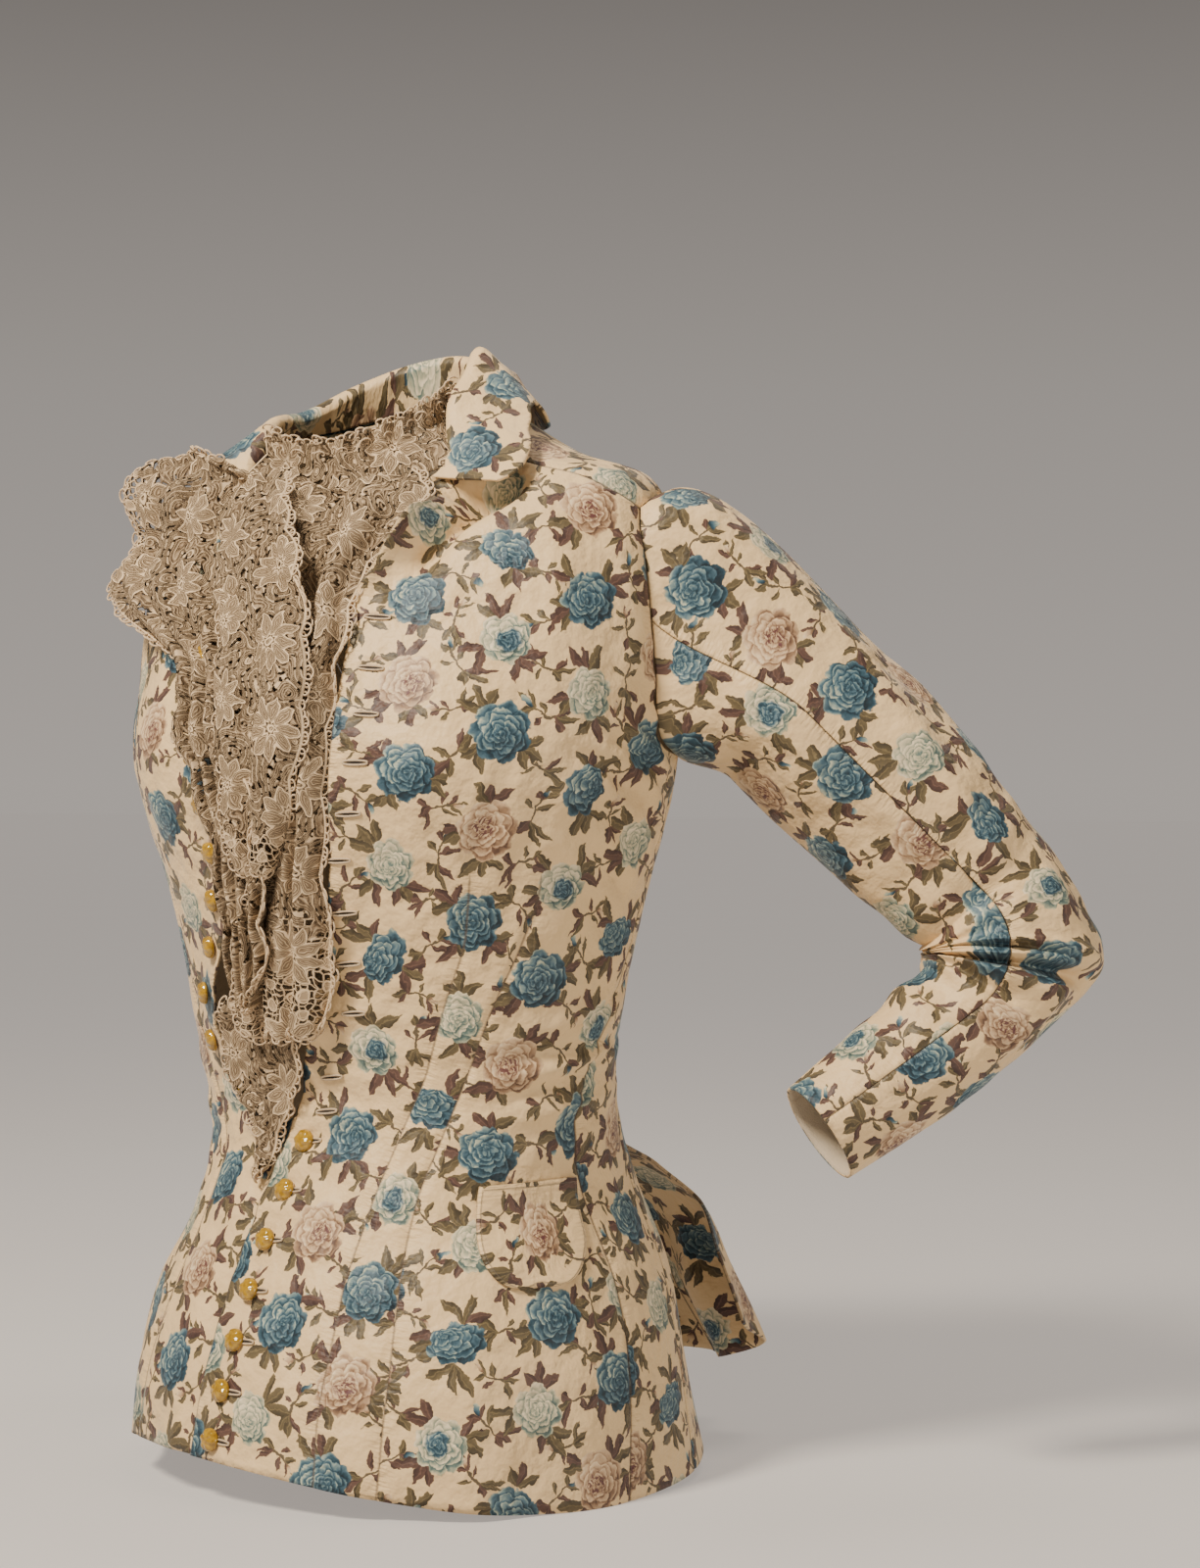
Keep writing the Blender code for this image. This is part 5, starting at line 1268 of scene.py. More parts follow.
def frill_face(columns, steps):
    """Points of the neck frill: it stands up, and a skirt of it lies on the chest."""
    frill = NECK_FRILL
    low, high = frill["skirt_angles"]
    first, last = frill["from_angle"], frill["to_angle"]
    angle, share = np.broadcast_arrays(np.linspace(first, last, columns)[None, :],
                                       np.linspace(0, 1, steps + 1)[:, None])
    skirt = ease(np.abs(angle), high, low - high)
    row = TOP_ROW - frill["skirt_rows"] * skirt * np.clip(1 - 2 * share, 0, 1)
    way = unit(outward(torso, angle, row) * (1, 1, 0))
    turn = 2 * math.pi * frill["waves"] * (angle - first) / (last - first)
    stand = frill["height"] * np.clip(2 * share - 1, 0, 1)
    level = skirt * frill["skirt_lift"] - (1 - skirt) * (frill["inside"] + frill["lean"] * stand)
    level = level + frill["wave"] * share * np.cos(turn) * skirt
    height = frill["clear"] + stand + frill["height"] / frill["rise_share"] * share * (1 - skirt)
    return torso(angle, row) + way * level[..., None] + UP * height[..., None]


def make_neck_frill():
    """A lace edging round the front of the neck, with a cord on its edge and one below it."""
    face = frill_face(NECK_FRILL["fine_columns"], NECK_FRILL["fine_steps"])
    coarse = frill_face(NECK_FRILL["columns"], NECK_FRILL["steps"])
    lace_wall("lace_neck_frill", face, coarse, NECK_FRILL["cut_at"], edge_distance(face), 0 * face[..., 0])
    normals, sewn = grid_normals(face), EDGING["sewn_in"]
    looped_edging("frill_edge_cord", [(face[-k], face[-k - sewn] - face[-k], normals[-k])
                                      for k in (1, NECK_FRILL["lower_cord"])])


# Materials

def node_maker(operation, swapped=False):
    """A method that adds a Math node."""
    def method(self, *others):
        return self.shade.maths(operation, *((*others, self) if swapped else (self, *others)))

    return method


class Value:
    """A socket of a shader; arithmetic on it adds Math nodes."""

    def __init__(self, shade, socket):
        self.shade = shade
        self.socket = socket

    def do(self, operation, *others):
        return self.shade.maths(operation, self, *others)

    __add__ = node_maker("ADD")
    __sub__ = node_maker("SUBTRACT")
    __rsub__ = node_maker("SUBTRACT", swapped=True)
    __mul__ = __rmul__ = node_maker("MULTIPLY")
    __truediv__ = node_maker("DIVIDE")
    __pow__ = node_maker("POWER")
    __abs__ = node_maker("ABSOLUTE")


class Shade:
    """A material's node tree with one Principled shader."""

    def __init__(self, name, roughness, **uniform):
        self.material = bpy.data.materials.new(name)
        self.material.use_nodes = True
        self.tree = self.material.node_tree
        self.surface = self.tree.nodes["Principled BSDF"]
        self.surface.inputs["Roughness"].default_value = roughness
        for socket, value in uniform.items():
            self.surface.inputs[socket.replace("_", " ")].default_value = value

    def node(self, kind, settings=None, sockets=None, out=0):
        """A node of a kind, with its settings first and then its sockets' values or links."""
        made = self.tree.nodes.new(kind)
        for key, value in (settings or {}).items():
            if key == "stops":
                ramp = made.color_ramp
                while len(ramp.elements) < len(value):
                    ramp.elements.new(0.5)
                for element, (place, colour) in zip(ramp.elements, value):
                    element.position = place
                    element.color = (*colour, 1.0)
            else:
                setattr(made, key, value)
        for key, value in (sockets or {}).items():
            if isinstance(value, Value):
                self.tree.links.new(value.socket, made.inputs[key])
            else:
                made.inputs[key].default_value = value
        return Value(self, made.outputs[out])

    def maths(self, operation, *values):
        return self.node("ShaderNodeMath", {"operation": operation}, dict(enumerate(values)))

    def vector(self, operation, *values):
        return self.node("ShaderNodeVectorMath", {"operation": operation}, dict(enumerate(values)))

    def scaled(self, vector, factor):
        return self.node("ShaderNodeVectorMath", {"operation": "SCALE"}, {0: vector, "Scale": factor})

    def ramp(self, value, low, high):
        """0 where the value is at low, 1 at high and straight between them."""
        return self.node("ShaderNodeMapRange", None, {0: value, 1: low, 2: high})

    def mix(self, share, one, two):
        """One colour where the share is 0 and the other where it is 1."""
        one, two = ((*colour, 1.0) if isinstance(colour, tuple) else colour for colour in (one, two))
        return self.node("ShaderNodeMix", {"data_type": "RGBA"}, {0: share, 6: one, 7: two}, 2)

    def blend(self, share, one, two):
        """One number where the share is 0 and the other where it is 1."""
        return self.node("ShaderNodeMix", None, {0: share, 2: one, 3: two})

    def stops(self, value, stops):
        return self.node("ShaderNodeValToRGB", {"stops": stops}, {0: value})

    def noise(self, place, scale, detail=2.0, out=0):
        return self.node("ShaderNodeTexNoise", {"noise_dimensions": "2D"},
                         {"Vector": place, "Scale": scale, "Detail": detail}, out)

    def chance(self, x, y, z):
        """Three steady random numbers for three whole ones."""
        colour = self.node("ShaderNodeTexWhiteNoise", None, {"Vector": self.joined(x, y, z)}, 1)
        return [self.node("ShaderNodeSeparateColor", None, {0: colour}, out) for out in range(3)]

    def joined(self, x, y, z=0.0):
        return self.node("ShaderNodeCombineXYZ", None, {0: x, 1: y, 2: z})

    def parts(self, vector):
        return [self.node("ShaderNodeSeparateXYZ", None, {0: vector}, out) for out in range(2)]

    def millimetres(self):
        """The place on the flat cloth, in millimetres."""
        return self.scaled(self.node("ShaderNodeUVMap", {"uv_map": "cut"}), 1000.0)

    def wandered(self, place, scale, detail, reach):
        """A place pushed about by up to half the reach, so that no two motifs are quite alike."""
        push = self.vector("SUBTRACT", self.noise(place, scale, detail, 1), (0.5, 0.5, 0.5))
        return self.parts(self.vector("ADD", place, self.scaled(push, reach)))

    def cloudy(self, scale, dark, light, height, low=0.0, high=1.0):
        """Colour and relief of a plain solid, both by one noise through it."""
        here = self.node("ShaderNodeTexCoord", out=3)
        cloud = self.node("ShaderNodeTexNoise", None, {"Vector": here, "Scale": scale, "Detail": 3.0})
        self.colour(self.mix(self.ramp(cloud, low, high), dark, light))
        self.relief(cloud, height)

    def mark(self, name):
        return self.node("ShaderNodeAttribute", {"attribute_name": name}, out=2)

    def colour(self, value):
        self.tree.links.new(value.socket, self.surface.inputs["Base Color"])

    def relief(self, height, distance):
        bump = self.node("ShaderNodeBump", None, {"Height": height, "Distance": distance})
        self.tree.links.new(bump.socket, self.surface.inputs["Normal"])


def half_drop(shade, x, y, pitch, shift, number):
    """Cell of a half-drop repeat: the place from its middle, its column and row, and its chances."""
    across, tall = pitch
    x, y = x + shift[0], y + shift[1]
    column = (x / across).do("FLOOR")
    y = y + column.do("FLOORED_MODULO", 2.0) * (tall / 2)
    row = (y / tall).do("FLOOR")
    chances = shade.chance(column, row, number)
    return x - (column + 0.5) * across, y - (row + 0.5) * tall, (column, row), chances


def cell_number(cell):
    """One number for a cell of a repeat, which its chances start from."""
    by_column, by_row = CELL_NUMBERS
    return cell[0] * by_column + cell[1] * by_row


def turned(shade, x, y, angle):
    place = shade.node("ShaderNodeVectorRotate", {"rotation_type": "Z_AXIS"},
                       {"Vector": shade.joined(x, y), "Angle": angle})
    return shade.parts(place)


def polar(x, y):
    """Distance from the middle and the turn about it, as a share of a full turn."""
    return (x * x + y * y).do("SQRT"), y.do("ARCTAN2", x) * (0.5 / math.pi)


# A rose, in shares of its radius and of the full tone
ROSE = {"ground": 0.3, "lean_up": 0.7, "spin": 3.0, "edge": 0.035, "lip": 0.17, "lip_light": 0.40,
        "side_light": 0.36, "shadow_reach": 0.11, "shadow": 0.60, "strokes": (18.0, 4.0),
        "brush": 0.55}
# Rings of a rose from the outside in: reach, petals, phase, depth of the notches, tone
ROSE_RINGS = ((1.00, 7, 0.11, 0.16, 0.34), (0.83, 6, 0.55, 0.16, 0.46), (0.66, 6, 0.23, 0.14, 0.52),
              (0.49, 5, 0.81, 0.12, 0.50), (0.34, 4, 0.37, 0.09, 0.42), (0.19, 3, 0.60, 0.07, 0.28))


def rose(shade, x, y, radius, spin, lean):
    """Overlapping petals: each ring's scalloped edge lies over the next one out, with a light
    lip, a darker throat and a shadow under it, and inner rings sit further towards the side
    the rose leans to. Gives the cover, the tone and the share of the radius."""
    tone = ROSE["ground"]
    cover = None
    for reach, petals, phase, notch, base in ROSE_RINGS:
        off = radius * lean * (1.0 - reach)
        far, turn = polar(x - off, y - off * ROSE["lean_up"])
        far = far / radius
        across = (turn * float(petals) + spin * ROSE["spin"] + phase).do("FRACT") - 0.5
        inside = across * across * (-4.0 * notch) + reach - far
        over = shade.ramp(inside, 0.0, ROSE["edge"])
        lip = shade.ramp(inside, ROSE["lip"], 0.0)
        petal = lip * lip * ROSE["lip_light"] + across * ROSE["side_light"] + base
        shadow = shade.ramp(inside, -ROSE["shadow_reach"], 0.0) * -ROSE["shadow"] + 1.0
        tone = shade.blend(over, tone * shadow, petal)
        cover = over if cover is None else cover
    along, out = ROSE["strokes"]
    brush = shade.noise(shade.joined(turn * along, far * out), 1.0, 2.0)
    return cover, tone + (brush - 0.5) * ROSE["brush"], far


def leaf_fan(shade, x, y, angle, off, cell, count, length, width, number):
    """Pointed leaves that open like a fan from a place that is off along the angle: a leaf
    covers where the side-to-side distance is under width x 4t(1-t), one spoke from the next
    leaf. Gives cover, light and chance."""
    x, y = turned(shade, x, y, angle)
    far, turn = polar(x - off, y)
    spoke = turn * LEAF["spokes"] + 0.5
    index = spoke.do("FLOOR")
    chances = shade.chance(index, cell, number)
    side = (spoke.do("FRACT") - 0.5) * (2 * math.pi / LEAF["spokes"]) * far
    side = side + far * far * (chances[1] - 0.5) * (LEAF["bend"] / length)
    along = far / (chances[0] * (LEAF["longer"] * length) + LEAF["least"] * length)
    half = along * (1.0 - along) * (4.0 * width)
    in_fan = abs(index - 0.5 * (count % 2 == 0)).do("LESS_THAN", count / 2)
    cover = shade.ramp(half - abs(side), 0.0, LEAF["edge"]) * in_fan
    vein = shade.ramp(abs(side), *LEAF["vein"]) * LEAF["vein_light"]
    return cover, shade.ramp(side, -width, width) * LEAF["side_light"] + vein, chances[2]


# Leaves: spokes in a full turn, the length's least share and what chance adds, sideways bend
# and edges in millimetres, light of one side and of the vein, and the chance that turns them plum
LEAF = {"spokes": 8.0, "least": 0.72, "longer": 0.45, "bend": 0.5, "edge": 0.35, "vein": (0.4, 0.1),
        "side_light": 0.65, "vein_light": 0.45, "plum_from": 0.64}
LEAF_DARK = (0.030, 0.022, 0.012)
LEAF_LIGHT = (0.190, 0.140, 0.065)
PLUM_DARK = (0.032, 0.015, 0.014)
PLUM_LIGHT = (0.150, 0.080, 0.055)
MAROON = (0.085, 0.022, 0.026)
CREAM = (0.665, 0.472, 0.248)
BLUES = ((0.0, (0.005, 0.014, 0.022)), (0.24, (0.014, 0.043, 0.064)), (0.46, (0.050, 0.100, 0.134)),
         (0.70, (0.150, 0.218, 0.216)), (1.0, (0.480, 0.490, 0.345)))
BEIGES = ((0.0, (0.085, 0.042, 0.024)), (0.24, (0.235, 0.138, 0.075)), (0.46, (0.430, 0.285, 0.165)),
          (0.70, (0.560, 0.395, 0.240)), (1.0, (0.680, 0.535, 0.340)))
CREAMS = ((0.0, (0.030, 0.052, 0.052)), (0.24, (0.100, 0.145, 0.125)), (0.46, (0.310, 0.310, 0.210)),
          (0.70, (0.530, 0.460, 0.305)), (1.0, (0.680, 0.580, 0.400)))

# Sprigs, in millimetres: fans as way, distance from the middle, leaves, their length and half
# width; then where each kind stands in the repeat, its size, its bud's colours and its number
SPRIG_FANS = ((math.pi / 2, 5.0, 3, 12.5, 2.5), (-0.6, 0.0, 1, 10.5, 2.0),
              (math.pi + 0.5, 1.0, 1, 9.5, 1.9), (-math.pi / 2, 6.0, 3, 9.5, 1.8))
SPRIG_KINDS = (((23.0, 13.0), 1.0, BLUES, 5.0), ((25.0, 38.0), 0.82, BEIGES, 11.0))
SPRIG = {"bend": 0.022, "stem": (0.28, 0.0), "stem_half": 0.50, "stem_ends": (11.0, 10.2),
         "stem_cover": 0.9, "bud_at": 11.0, "bud": (1.7, 3.0), "bud_edge": (1.0, 0.7),
         "bud_light": (-3.0, 3.0), "turn": 4.4}

# The roses' repeat, in millimetres: six kinds in turn, the last three of them small
ROSE_REPEAT = {"shift": (0.0, 0.0), "number": 1.0, "stray": 4.0, "kinds": 6.0, "large_to": 2.5,
               "radii": (16.2, 13.8), "turn": 5.0,
               "beige": 1.0, "cream": 3.0, "side_view": 4.0, "pale": 5.0, "same": 0.1,
               "stretch": (0.28, 0.16, 0.94), "lean": (0.42, 0.14), "slope_light": 0.011,
               "heart": (0.52, 0.40), "pale_light": 0.10, "beige_light": 0.03}
ROSE_LEAVES = {"first": (2.4, -2.6), "off": 0.74, "length": 16.5, "width": 3.0,
               "fans": ((0.0, 0.0, 3, 2.0), (2.5, 1.0, 3, 3.0), (-1.6, 0.0, 2, 4.0))}
STAMENS = {"along": 2.2, "scale": 0.40, "dots": (0.50, 0.56), "reach": (0.46, 0.30), "cover": 0.9}

# The printed cloth: pushing about, mottling, then painted shadow along seams, darts and free edges, and
# pocket stitches, in metres
CLOTH_LOOK = {"wander": (0.17, 3.0, 5.0), "mottle": (0.035, 3.0), "dull": 0.93, "bright": 1.06,
              "seam": (0.0010, 0.0002), "seam_shadow_cover": 0.62, "painted_seam_shadow": (0.085, 0.055, 0.034),
              "stitch_at": 0.0024, "stitch": (0.0004, 0.0002), "stitch_cover": 0.45,
              "stitch_shade": (0.20, 0.15, 0.10), "crease": (0.045, 4.0), "pucker_reach": (0.010, 0.001),
              "pucker_scale": (0.12, 0.55, 1.0), "pucker": 0.20, "stitch_depth": 0.15, "height": 0.0045}


def leaf_colour(shade, light, plum):
    green = shade.mix(light, LEAF_DARK, LEAF_LIGHT)
    red = shade.mix(light, PLUM_DARK, PLUM_LIGHT)
    return shade.mix(plum.do("GREATER_THAN", LEAF["plum_from"]), green, red)


def sprig(shade, colour, x, y, cell, size, tip_colours, number):
    """A thin bent stem: a fan of leaves at its foot, two more half way and a bud at its tip."""
    x = x - y * y * (SPRIG["bend"] / size)
    stem = shade.ramp(abs(x) - SPRIG["stem_half"], *SPRIG["stem"])
    stem = stem * shade.ramp(abs(y), *(end * size for end in SPRIG["stem_ends"]))
    colour = shade.mix(stem * SPRIG["stem_cover"], colour, LEAF_DARK)
    for angle, off, count, length, width in SPRIG_FANS:
        cover, light, plum = leaf_fan(shade, x, y, angle, off * size, cell, count, length * size,
                                      width * size, number + angle)
        colour = shade.mix(cover, colour, leaf_colour(shade, light, plum))
    bud_y = y - SPRIG["bud_at"] * size
    half, tall = SPRIG["bud"]
    bud = shade.ramp((x / (half * size)) ** 2.0 + (bud_y / (tall * size)) ** 2.0, *SPRIG["bud_edge"])
    tip = shade.stops(shade.ramp(bud_y + x, *SPRIG["bud_light"]), tip_colours)
    return shade.mix(bud, colour, tip)


def print_roses(shade, colour, x, y):
    """Roses with leaves round them on a half-drop repeat, in blue, beige, cream and pale."""
    look = ROSE_REPEAT
    x, y, cell, chances = half_drop(shade, x, y, PRINT_PITCH, look["shift"], look["number"])
    x, y = x + (chances[0] - 0.5) * look["stray"], y + (chances[1] - 0.5) * look["stray"]
    kind = (cell[0] * 2.0 + cell[1]).do("FLOORED_MODULO", look["kinds"])
    radius = shade.blend(kind.do("GREATER_THAN", look["large_to"]), *look["radii"])
    swing, start = ROSE_LEAVES["first"]
    first = chances[1] * swing + start
    for more, by_chance, count, number in ROSE_LEAVES["fans"]:
        angle = first + more + chances[0] * by_chance
        cover, light, plum = leaf_fan(shade, x, y, angle, radius * ROSE_LEAVES["off"], cell_number(cell),
                                      count, ROSE_LEAVES["length"], ROSE_LEAVES["width"], number)
        colour = shade.mix(cover, colour, leaf_colour(shade, light, plum))
    rose_x, rose_y = turned(shade, x, y, chances[2] * look["turn"])
    side_view = kind.do("COMPARE", look["side_view"], look["same"])
    seen, wider, least = look["stretch"]
    stretch = side_view * seen + chances[0] * wider + least
    more, lean = look["lean"]
    cover, tone, far = rose(shade, rose_x * stretch, rose_y / (stretch * 0.5 + 0.5), radius,
                            chances[2], side_view * more + lean)
    lit = tone + (y - x) * look["slope_light"]
    blue = shade.stops(lit, BLUES)
    pale = shade.stops(lit + look["pale_light"], CREAMS)
    cream = shade.mix(shade.ramp(far, *look["heart"]), pale, blue)
    dots = shade.noise(shade.joined(rose_x * STAMENS["along"], rose_y), STAMENS["scale"], 1.0)
    dots = shade.ramp(dots, *STAMENS["dots"]) * shade.ramp(far, *STAMENS["reach"]) * STAMENS["cover"]
    beige = shade.mix(dots, shade.stops(lit + look["beige_light"], BEIGES), MAROON)
    petals = blue
    for name, tint in (("beige", beige), ("cream", cream), ("pale", pale)):
        petals = shade.mix(kind.do("COMPARE", look[name], look["same"]), petals, tint)
    return shade.mix(cover, colour, petals)


def make_print():
    """Cream sateen printed with roses on a half-drop repeat and sprigs between them."""
    look = CLOTH_LOOK
    shade = Shade("print_cotton_sateen", roughness=0.55, Sheen_Weight=0.10, Sheen_Roughness=0.45,
                  Specular_IOR_Level=0.35)
    flat = shade.millimetres()
    x, y = shade.wandered(flat, *look["wander"])
    dull, bright = (tuple(look[key] * part for part in CREAM) for key in ("dull", "bright"))
    colour = shade.mix(shade.noise(flat, *look["mottle"]), dull, bright)
    for shift, size, tips, number in SPRIG_KINDS:
        sprig_x, sprig_y, cell, chances = half_drop(shade, x, y, PRINT_PITCH, shift, number)
        sprig_x, sprig_y = turned(shade, sprig_x, sprig_y, (chances[0] - 0.5) * SPRIG["turn"])
        colour = sprig(shade, colour, sprig_x, sprig_y, cell_number(cell), size, tips, number)
    colour = print_roses(shade, colour, x, y)
    seam = shade.mark("seam")
    # Painted shadow: the cloth darkens towards dark brown within about a millimetre of seams, darts and
    # free edges, where shade would lie
    colour = shade.mix(shade.ramp(seam, *look["seam"]) * look["seam_shadow_cover"], colour, look["painted_seam_shadow"])
    stitch = shade.ramp(abs(shade.mark("stitch") - look["stitch_at"]), *look["stitch"])
    shade.colour(shade.mix(stitch * look["stitch_cover"], colour, look["stitch_shade"]))
    pucker = shade.noise(shade.vector("MULTIPLY", flat, look["pucker_scale"]), 1.0, 1.0)
    pucker = pucker * shade.ramp(seam, *look["pucker_reach"]) * look["pucker"]
    height = shade.noise(flat, *look["crease"]) + pucker - stitch * look["stitch_depth"]
    shade.relief(height, look["height"])
    return shade.material


def make_lining():
    look = LINING
    shade = Shade("lining_cotton", roughness=0.85, Specular_IOR_Level=0.2)
    flat = shade.millimetres()
    shade.colour(shade.mix(shade.noise(flat, *look["mottle"]), look["dark"], look["light"]))
    shade.relief(shade.noise(flat, *look["weave"]), look["height"])
    return shade.material


# Tape lace, in millimetres and shares of full cover
SCROLLS = {"scale": 0.040, "levels": 11.0, "threads": 5.0, "thread": (-0.6, 0.7), "rim": (0.36, 0.42),
           "fine": 0.9, "fine_share": 1.6, "tie_pace": 1.9, "tie_share": 0.5, "tie": (-0.1, 0.3),
           "hole_scale": 0.30, "hole": (0.45, 0.39), "hole_band": (0.22, 0.32),
           "cover": (0.36, 0.16, 0.10), "rim_cover": 0.80}
FLOWER = {"pitch": (38.0, 44.0), "shift": (3.0, 5.0), "number": 21.0, "petals": 9.0,
          "throat": 2.6, "reach": 12.6,
          "longer": 2.0, "width": 15.0, "tape_at": 0.45, "tape": (0.80, 0.40), "end": (1.02, 0.98),
          "inside": (-0.35, 0.10), "vein_pace": 5.5, "vein": (-0.5, 0.6), "vein_cover": (0.45, 0.20),
          "eye": 1.8, "eye_edge": (0.9, 0.5), "halo_along": (1.14, 1.04), "halo_side": (-2.4, -0.9),
          "halo": 0.55, "tape_cover": 0.95}
OPEN_GROUND = {"pitch": (10.5, 10.5), "shift": (1.5, 4.0), "number": 22.0, "ring": 2.9,
               "ring_edge": (0.8, 0.4),
               "inside": (2.9, 2.5), "inside_cover": 0.45, "net_scale": 0.30, "randomness": 0.55,
               "net": (0.16, 0.08), "net_cover": 0.85, "stray_scale": 0.12, "stray": 0.5,
               "begins": (0.42, 0.50)}
# Lace look: its colour runs from dark where the mesh is thin and low to light on the raised cords, the dark
# end being painted shade between the threads; the aged pair does the same and is mixed in by a slow noise
# of age
LACE_LOOK = {"wander": (0.10, 2.0, 5.5), "edge": (0.0018, 0.0010), "solid": (0.03, 0.14),
             "height": 0.0022, "dark": (0.110, 0.068, 0.037), "light": (0.640, 0.480, 0.305),
             "aged_painted_shade": (0.07, 0.04, 0.02), "aged_light": (0.52, 0.365, 0.215), "aged": 0.3,
             "aged_scale": 0.03}


def scroll_ground(shade, flat, x):
    """Close threads in scrolls that follow the level lines of a slow noise, with pin holes."""
    look = SCROLLS
    level = shade.noise(flat, look["scale"], 1.0) * look["levels"]
    band = abs(level.do("FRACT") - 0.5)
    threads = shade.ramp((level * (2 * math.pi * look["threads"])).do("SINE"), *look["thread"])
    fine = (shade.noise(flat, look["fine"], 2.0) - 0.5) * look["fine_share"]
    ties = shade.ramp(fine + (x * look["tie_pace"]).do("SINE") * look["tie_share"], *look["tie"])
    holes = shade.ramp(shade.noise(flat, look["hole_scale"], 1.0), *look["hole"])
    holes = holes * shade.ramp(band, *look["hole_band"])
    by_thread, by_tie, least = look["cover"]
    rim = shade.ramp(band, *look["rim"]) * look["rim_cover"]
    return (threads * by_thread + ties * by_tie + least).do("MAXIMUM", rim) * (1.0 - holes)


def lace_flower(shade, x, y):
    """Long petals of threads inside raised outlines: outline, inside, veins, eye and halo."""
    look = FLOWER
    x, y, _, chances = half_drop(shade, x, y, look["pitch"], look["shift"], look["number"])
    far, turn = polar(x, y)
    off_middle = abs((turn * look["petals"] + chances[2]).do("FRACT") - 0.5)
    across = off_middle * (2 * math.pi / look["petals"]) * far
    along = (far - look["throat"]) / (chances[0] * look["longer"] + look["reach"])
    petal = along * (1.0 - along) * look["width"] - across
    end = shade.ramp(along, *look["end"])
    tape = shade.ramp(abs(petal - look["tape_at"]), *look["tape"]) * end * look["tape_cover"]
    inside = shade.ramp(petal, *look["inside"]) * end
    light, least = look["vein_cover"]
    veins = shade.ramp((petal * look["vein_pace"]).do("SINE"), *look["vein"]) * light + least
    eye = shade.ramp(abs(far - look["eye"]), *look["eye_edge"])
    halo = shade.ramp(along, *look["halo_along"]) * shade.ramp(petal, *look["halo_side"])
    return tape, inside, veins, eye, halo * look["halo"]


def ring_ground(shade, x, y):
    """Solid rings on a coarse net with real holes."""
    look = OPEN_GROUND
    net = shade.node("ShaderNodeTexVoronoi", {"voronoi_dimensions": "2D", "feature": "DISTANCE_TO_EDGE"},
                     {"Vector": shade.joined(x, y), "Scale": look["net_scale"],
                      "Randomness": look["randomness"]})
    x, y, _, _ = half_drop(shade, x, y, look["pitch"], look["shift"], look["number"])
    far, _ = polar(x, y)
    rings = shade.ramp(abs(far - look["ring"]), *look["ring_edge"])
    rings = rings.do("MAXIMUM", shade.ramp(far, *look["inside"]) * look["inside_cover"])
    return (shade.ramp(net, *look["net"]) * look["net_cover"]).do("MAXIMUM", rings)


def make_tape_lace():
    """Tape lace: scrolls, on them flowers, and in the open parts rings on a net. Its colour is painted
    darker where the mesh is thin and low, as shade between the raised threads.
    """
    look = LACE_LOOK
    shade = Shade("tape_lace_cotton", roughness=0.85, Specular_IOR_Level=0.2)
    flat = shade.millimetres()
    x, y = shade.wandered(flat, *look["wander"])
    tape, inside, veins, eye, halo = lace_flower(shade, x, y)
    ground = scroll_ground(shade, flat, x) * (1.0 - halo)
    stray = (shade.noise(flat, OPEN_GROUND["stray_scale"], 1.0) - 0.5) * OPEN_GROUND["stray"]
    wide = shade.ramp(shade.mark("open") + stray, *OPEN_GROUND["begins"])
    mesh = shade.blend(inside, shade.blend(wide, ground, ring_ground(shade, x, y)), veins)
    for raised_part in (tape, eye, shade.ramp(shade.mark("seam"), *look["edge"])):
        mesh = mesh.do("MAXIMUM", raised_part)
    # Painted shade: darker where the mesh is thin and low between raised threads
    tint = shade.mix(mesh, look["dark"], look["light"])
    aged = shade.noise(flat, look["aged_scale"], 2.0) * look["aged"]
    shade.colour(shade.mix(aged, tint, shade.mix(mesh, look["aged_painted_shade"], look["aged_light"])))
    solid = shade.ramp(mesh, *look["solid"]).do("MAXIMUM", inside)
    shade.tree.links.new(solid.socket, shade.surface.inputs["Alpha"])
    shade.relief(mesh, look["height"])
    return shade.material


def make_glass():
    shade = Shade("amber_glass", roughness=0.12, Coat_Weight=0.8, Coat_Roughness=0.04, IOR=1.5)
    shade.cloudy(**GLASS)
    return shade.material


def make_plain(name, scale, dark, light, roughness):
    shade = Shade(name, roughness)
    shade.cloudy(scale, dark, light, PLAIN_RELIEF)
    return shade.material


# Studio

def add_lamp(name, place, target, size, power):
    """A square soft lamp that faces the target."""
    light = bpy.data.lights.new(name, "AREA")
    light.size = size
    light.energy = power
    light.color = LAMP_COLOUR
    lamp = bpy.data.objects.new(name, light)
    way = unit(place - target)
    lamp.location = place
    lamp.rotation_euler = (math.acos(way[2]), 0.0, math.atan2(way[1], way[0]) + math.pi / 2)
    bpy.context.scene.collection.objects.link(lamp)


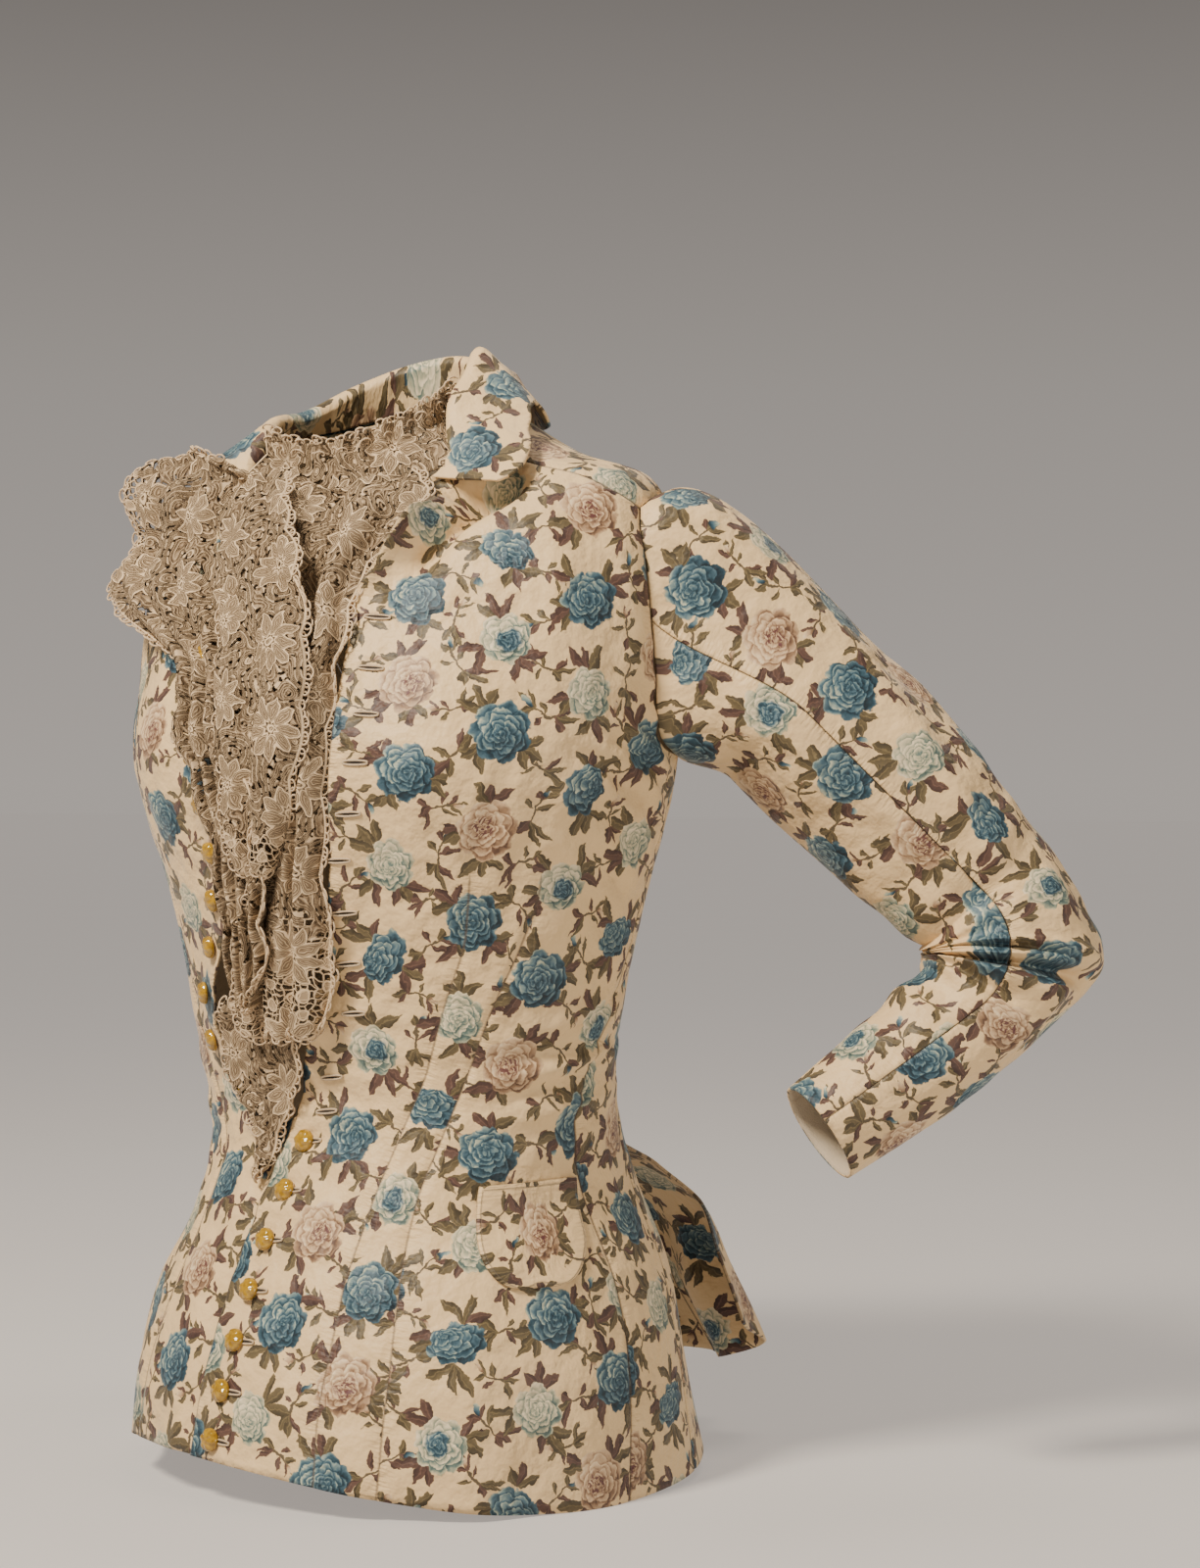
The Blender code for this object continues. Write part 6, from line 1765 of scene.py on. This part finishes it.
def make_backdrop():
    """A background that is pale at the horizon and darker above it."""
    world = bpy.data.worlds.new("soft_grey")
    world.use_nodes = True
    nodes, links = world.node_tree.nodes, world.node_tree.links
    way = nodes.new("ShaderNodeTexCoord")
    apart = nodes.new("ShaderNodeSeparateXYZ")
    ramp = nodes.new("ShaderNodeValToRGB")
    links.new(way.outputs["Generated"], apart.inputs[0])
    links.new(apart.outputs["Z"], ramp.inputs[0])
    links.new(ramp.outputs[0], nodes["Background"].inputs["Color"])
    ramp.color_ramp.elements.new(0.5)
    for element, (place, colour) in zip(ramp.color_ramp.elements, BACKDROP):
        element.position = place
        element.color = (*colour, 1.0)
    bpy.context.scene.world = world


def make_studio():
    """Camera at the garment's front left, a pale floor under the hem and soft lights."""
    turn = math.radians(CAMERA["azimuth"])
    lens = bpy.data.cameras.new("camera")
    lens.lens = CAMERA["focal"]
    lens.sensor_width = CAMERA["sensor"]
    lens.sensor_fit = "AUTO"
    camera = bpy.data.objects.new("camera", lens)
    camera.location = CAMERA["place"]
    camera.rotation_euler = (math.pi / 2, 0.0, turn)
    bpy.context.scene.collection.objects.link(camera)
    bpy.context.scene.camera = camera
    right = np.array([math.cos(turn), math.sin(turn), 0.0])
    ahead = np.array([-math.sin(turn), math.cos(turn), 0.0])
    target = np.array(LAMP_TARGET)
    for name, (along_right, along_ahead, up, size, power) in LAMPS.items():
        add_lamp(name, target + right * along_right + ahead * along_ahead + UP * up, target, size, power)
    low, half = cad_box[0][2], FLOOR_HALF
    square = [(x * half, y * half, low) for x, y in ((-1, -1), (1, -1), (1, 1), (-1, 1))]
    floor = add_mesh("floor", square, [(0, 1, 2, 3)], smooth=False)
    floor.data.materials.append(pale_floor)
    floor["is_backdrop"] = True
    make_backdrop()


print_cloth = make_print()
lining = make_lining()
tape_lace = make_tape_lace()
amber_glass = make_glass()
silk_thread, lace_cord, painted_slit_shadow, pale_floor = (
    make_plain(name, *look) for name, look in PLAINS.items())
floor_surface = pale_floor.node_tree.nodes["Principled BSDF"]
floor_surface.inputs["Emission Color"].default_value = FLOOR_GLOW
floor_surface.inputs["Emission Strength"].default_value = 1.0

make_studio()
make_bodice()
make_sleeves()
make_collar()
make_pocket()
make_buttons()
make_buttonholes()
make_jabot()
make_neck_frill()

looks_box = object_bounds()
sizes = {name: [[float(value) for value in corner] for corner in box]
         for name, box in (("cad", cad_box), ("visual", looks_box))}
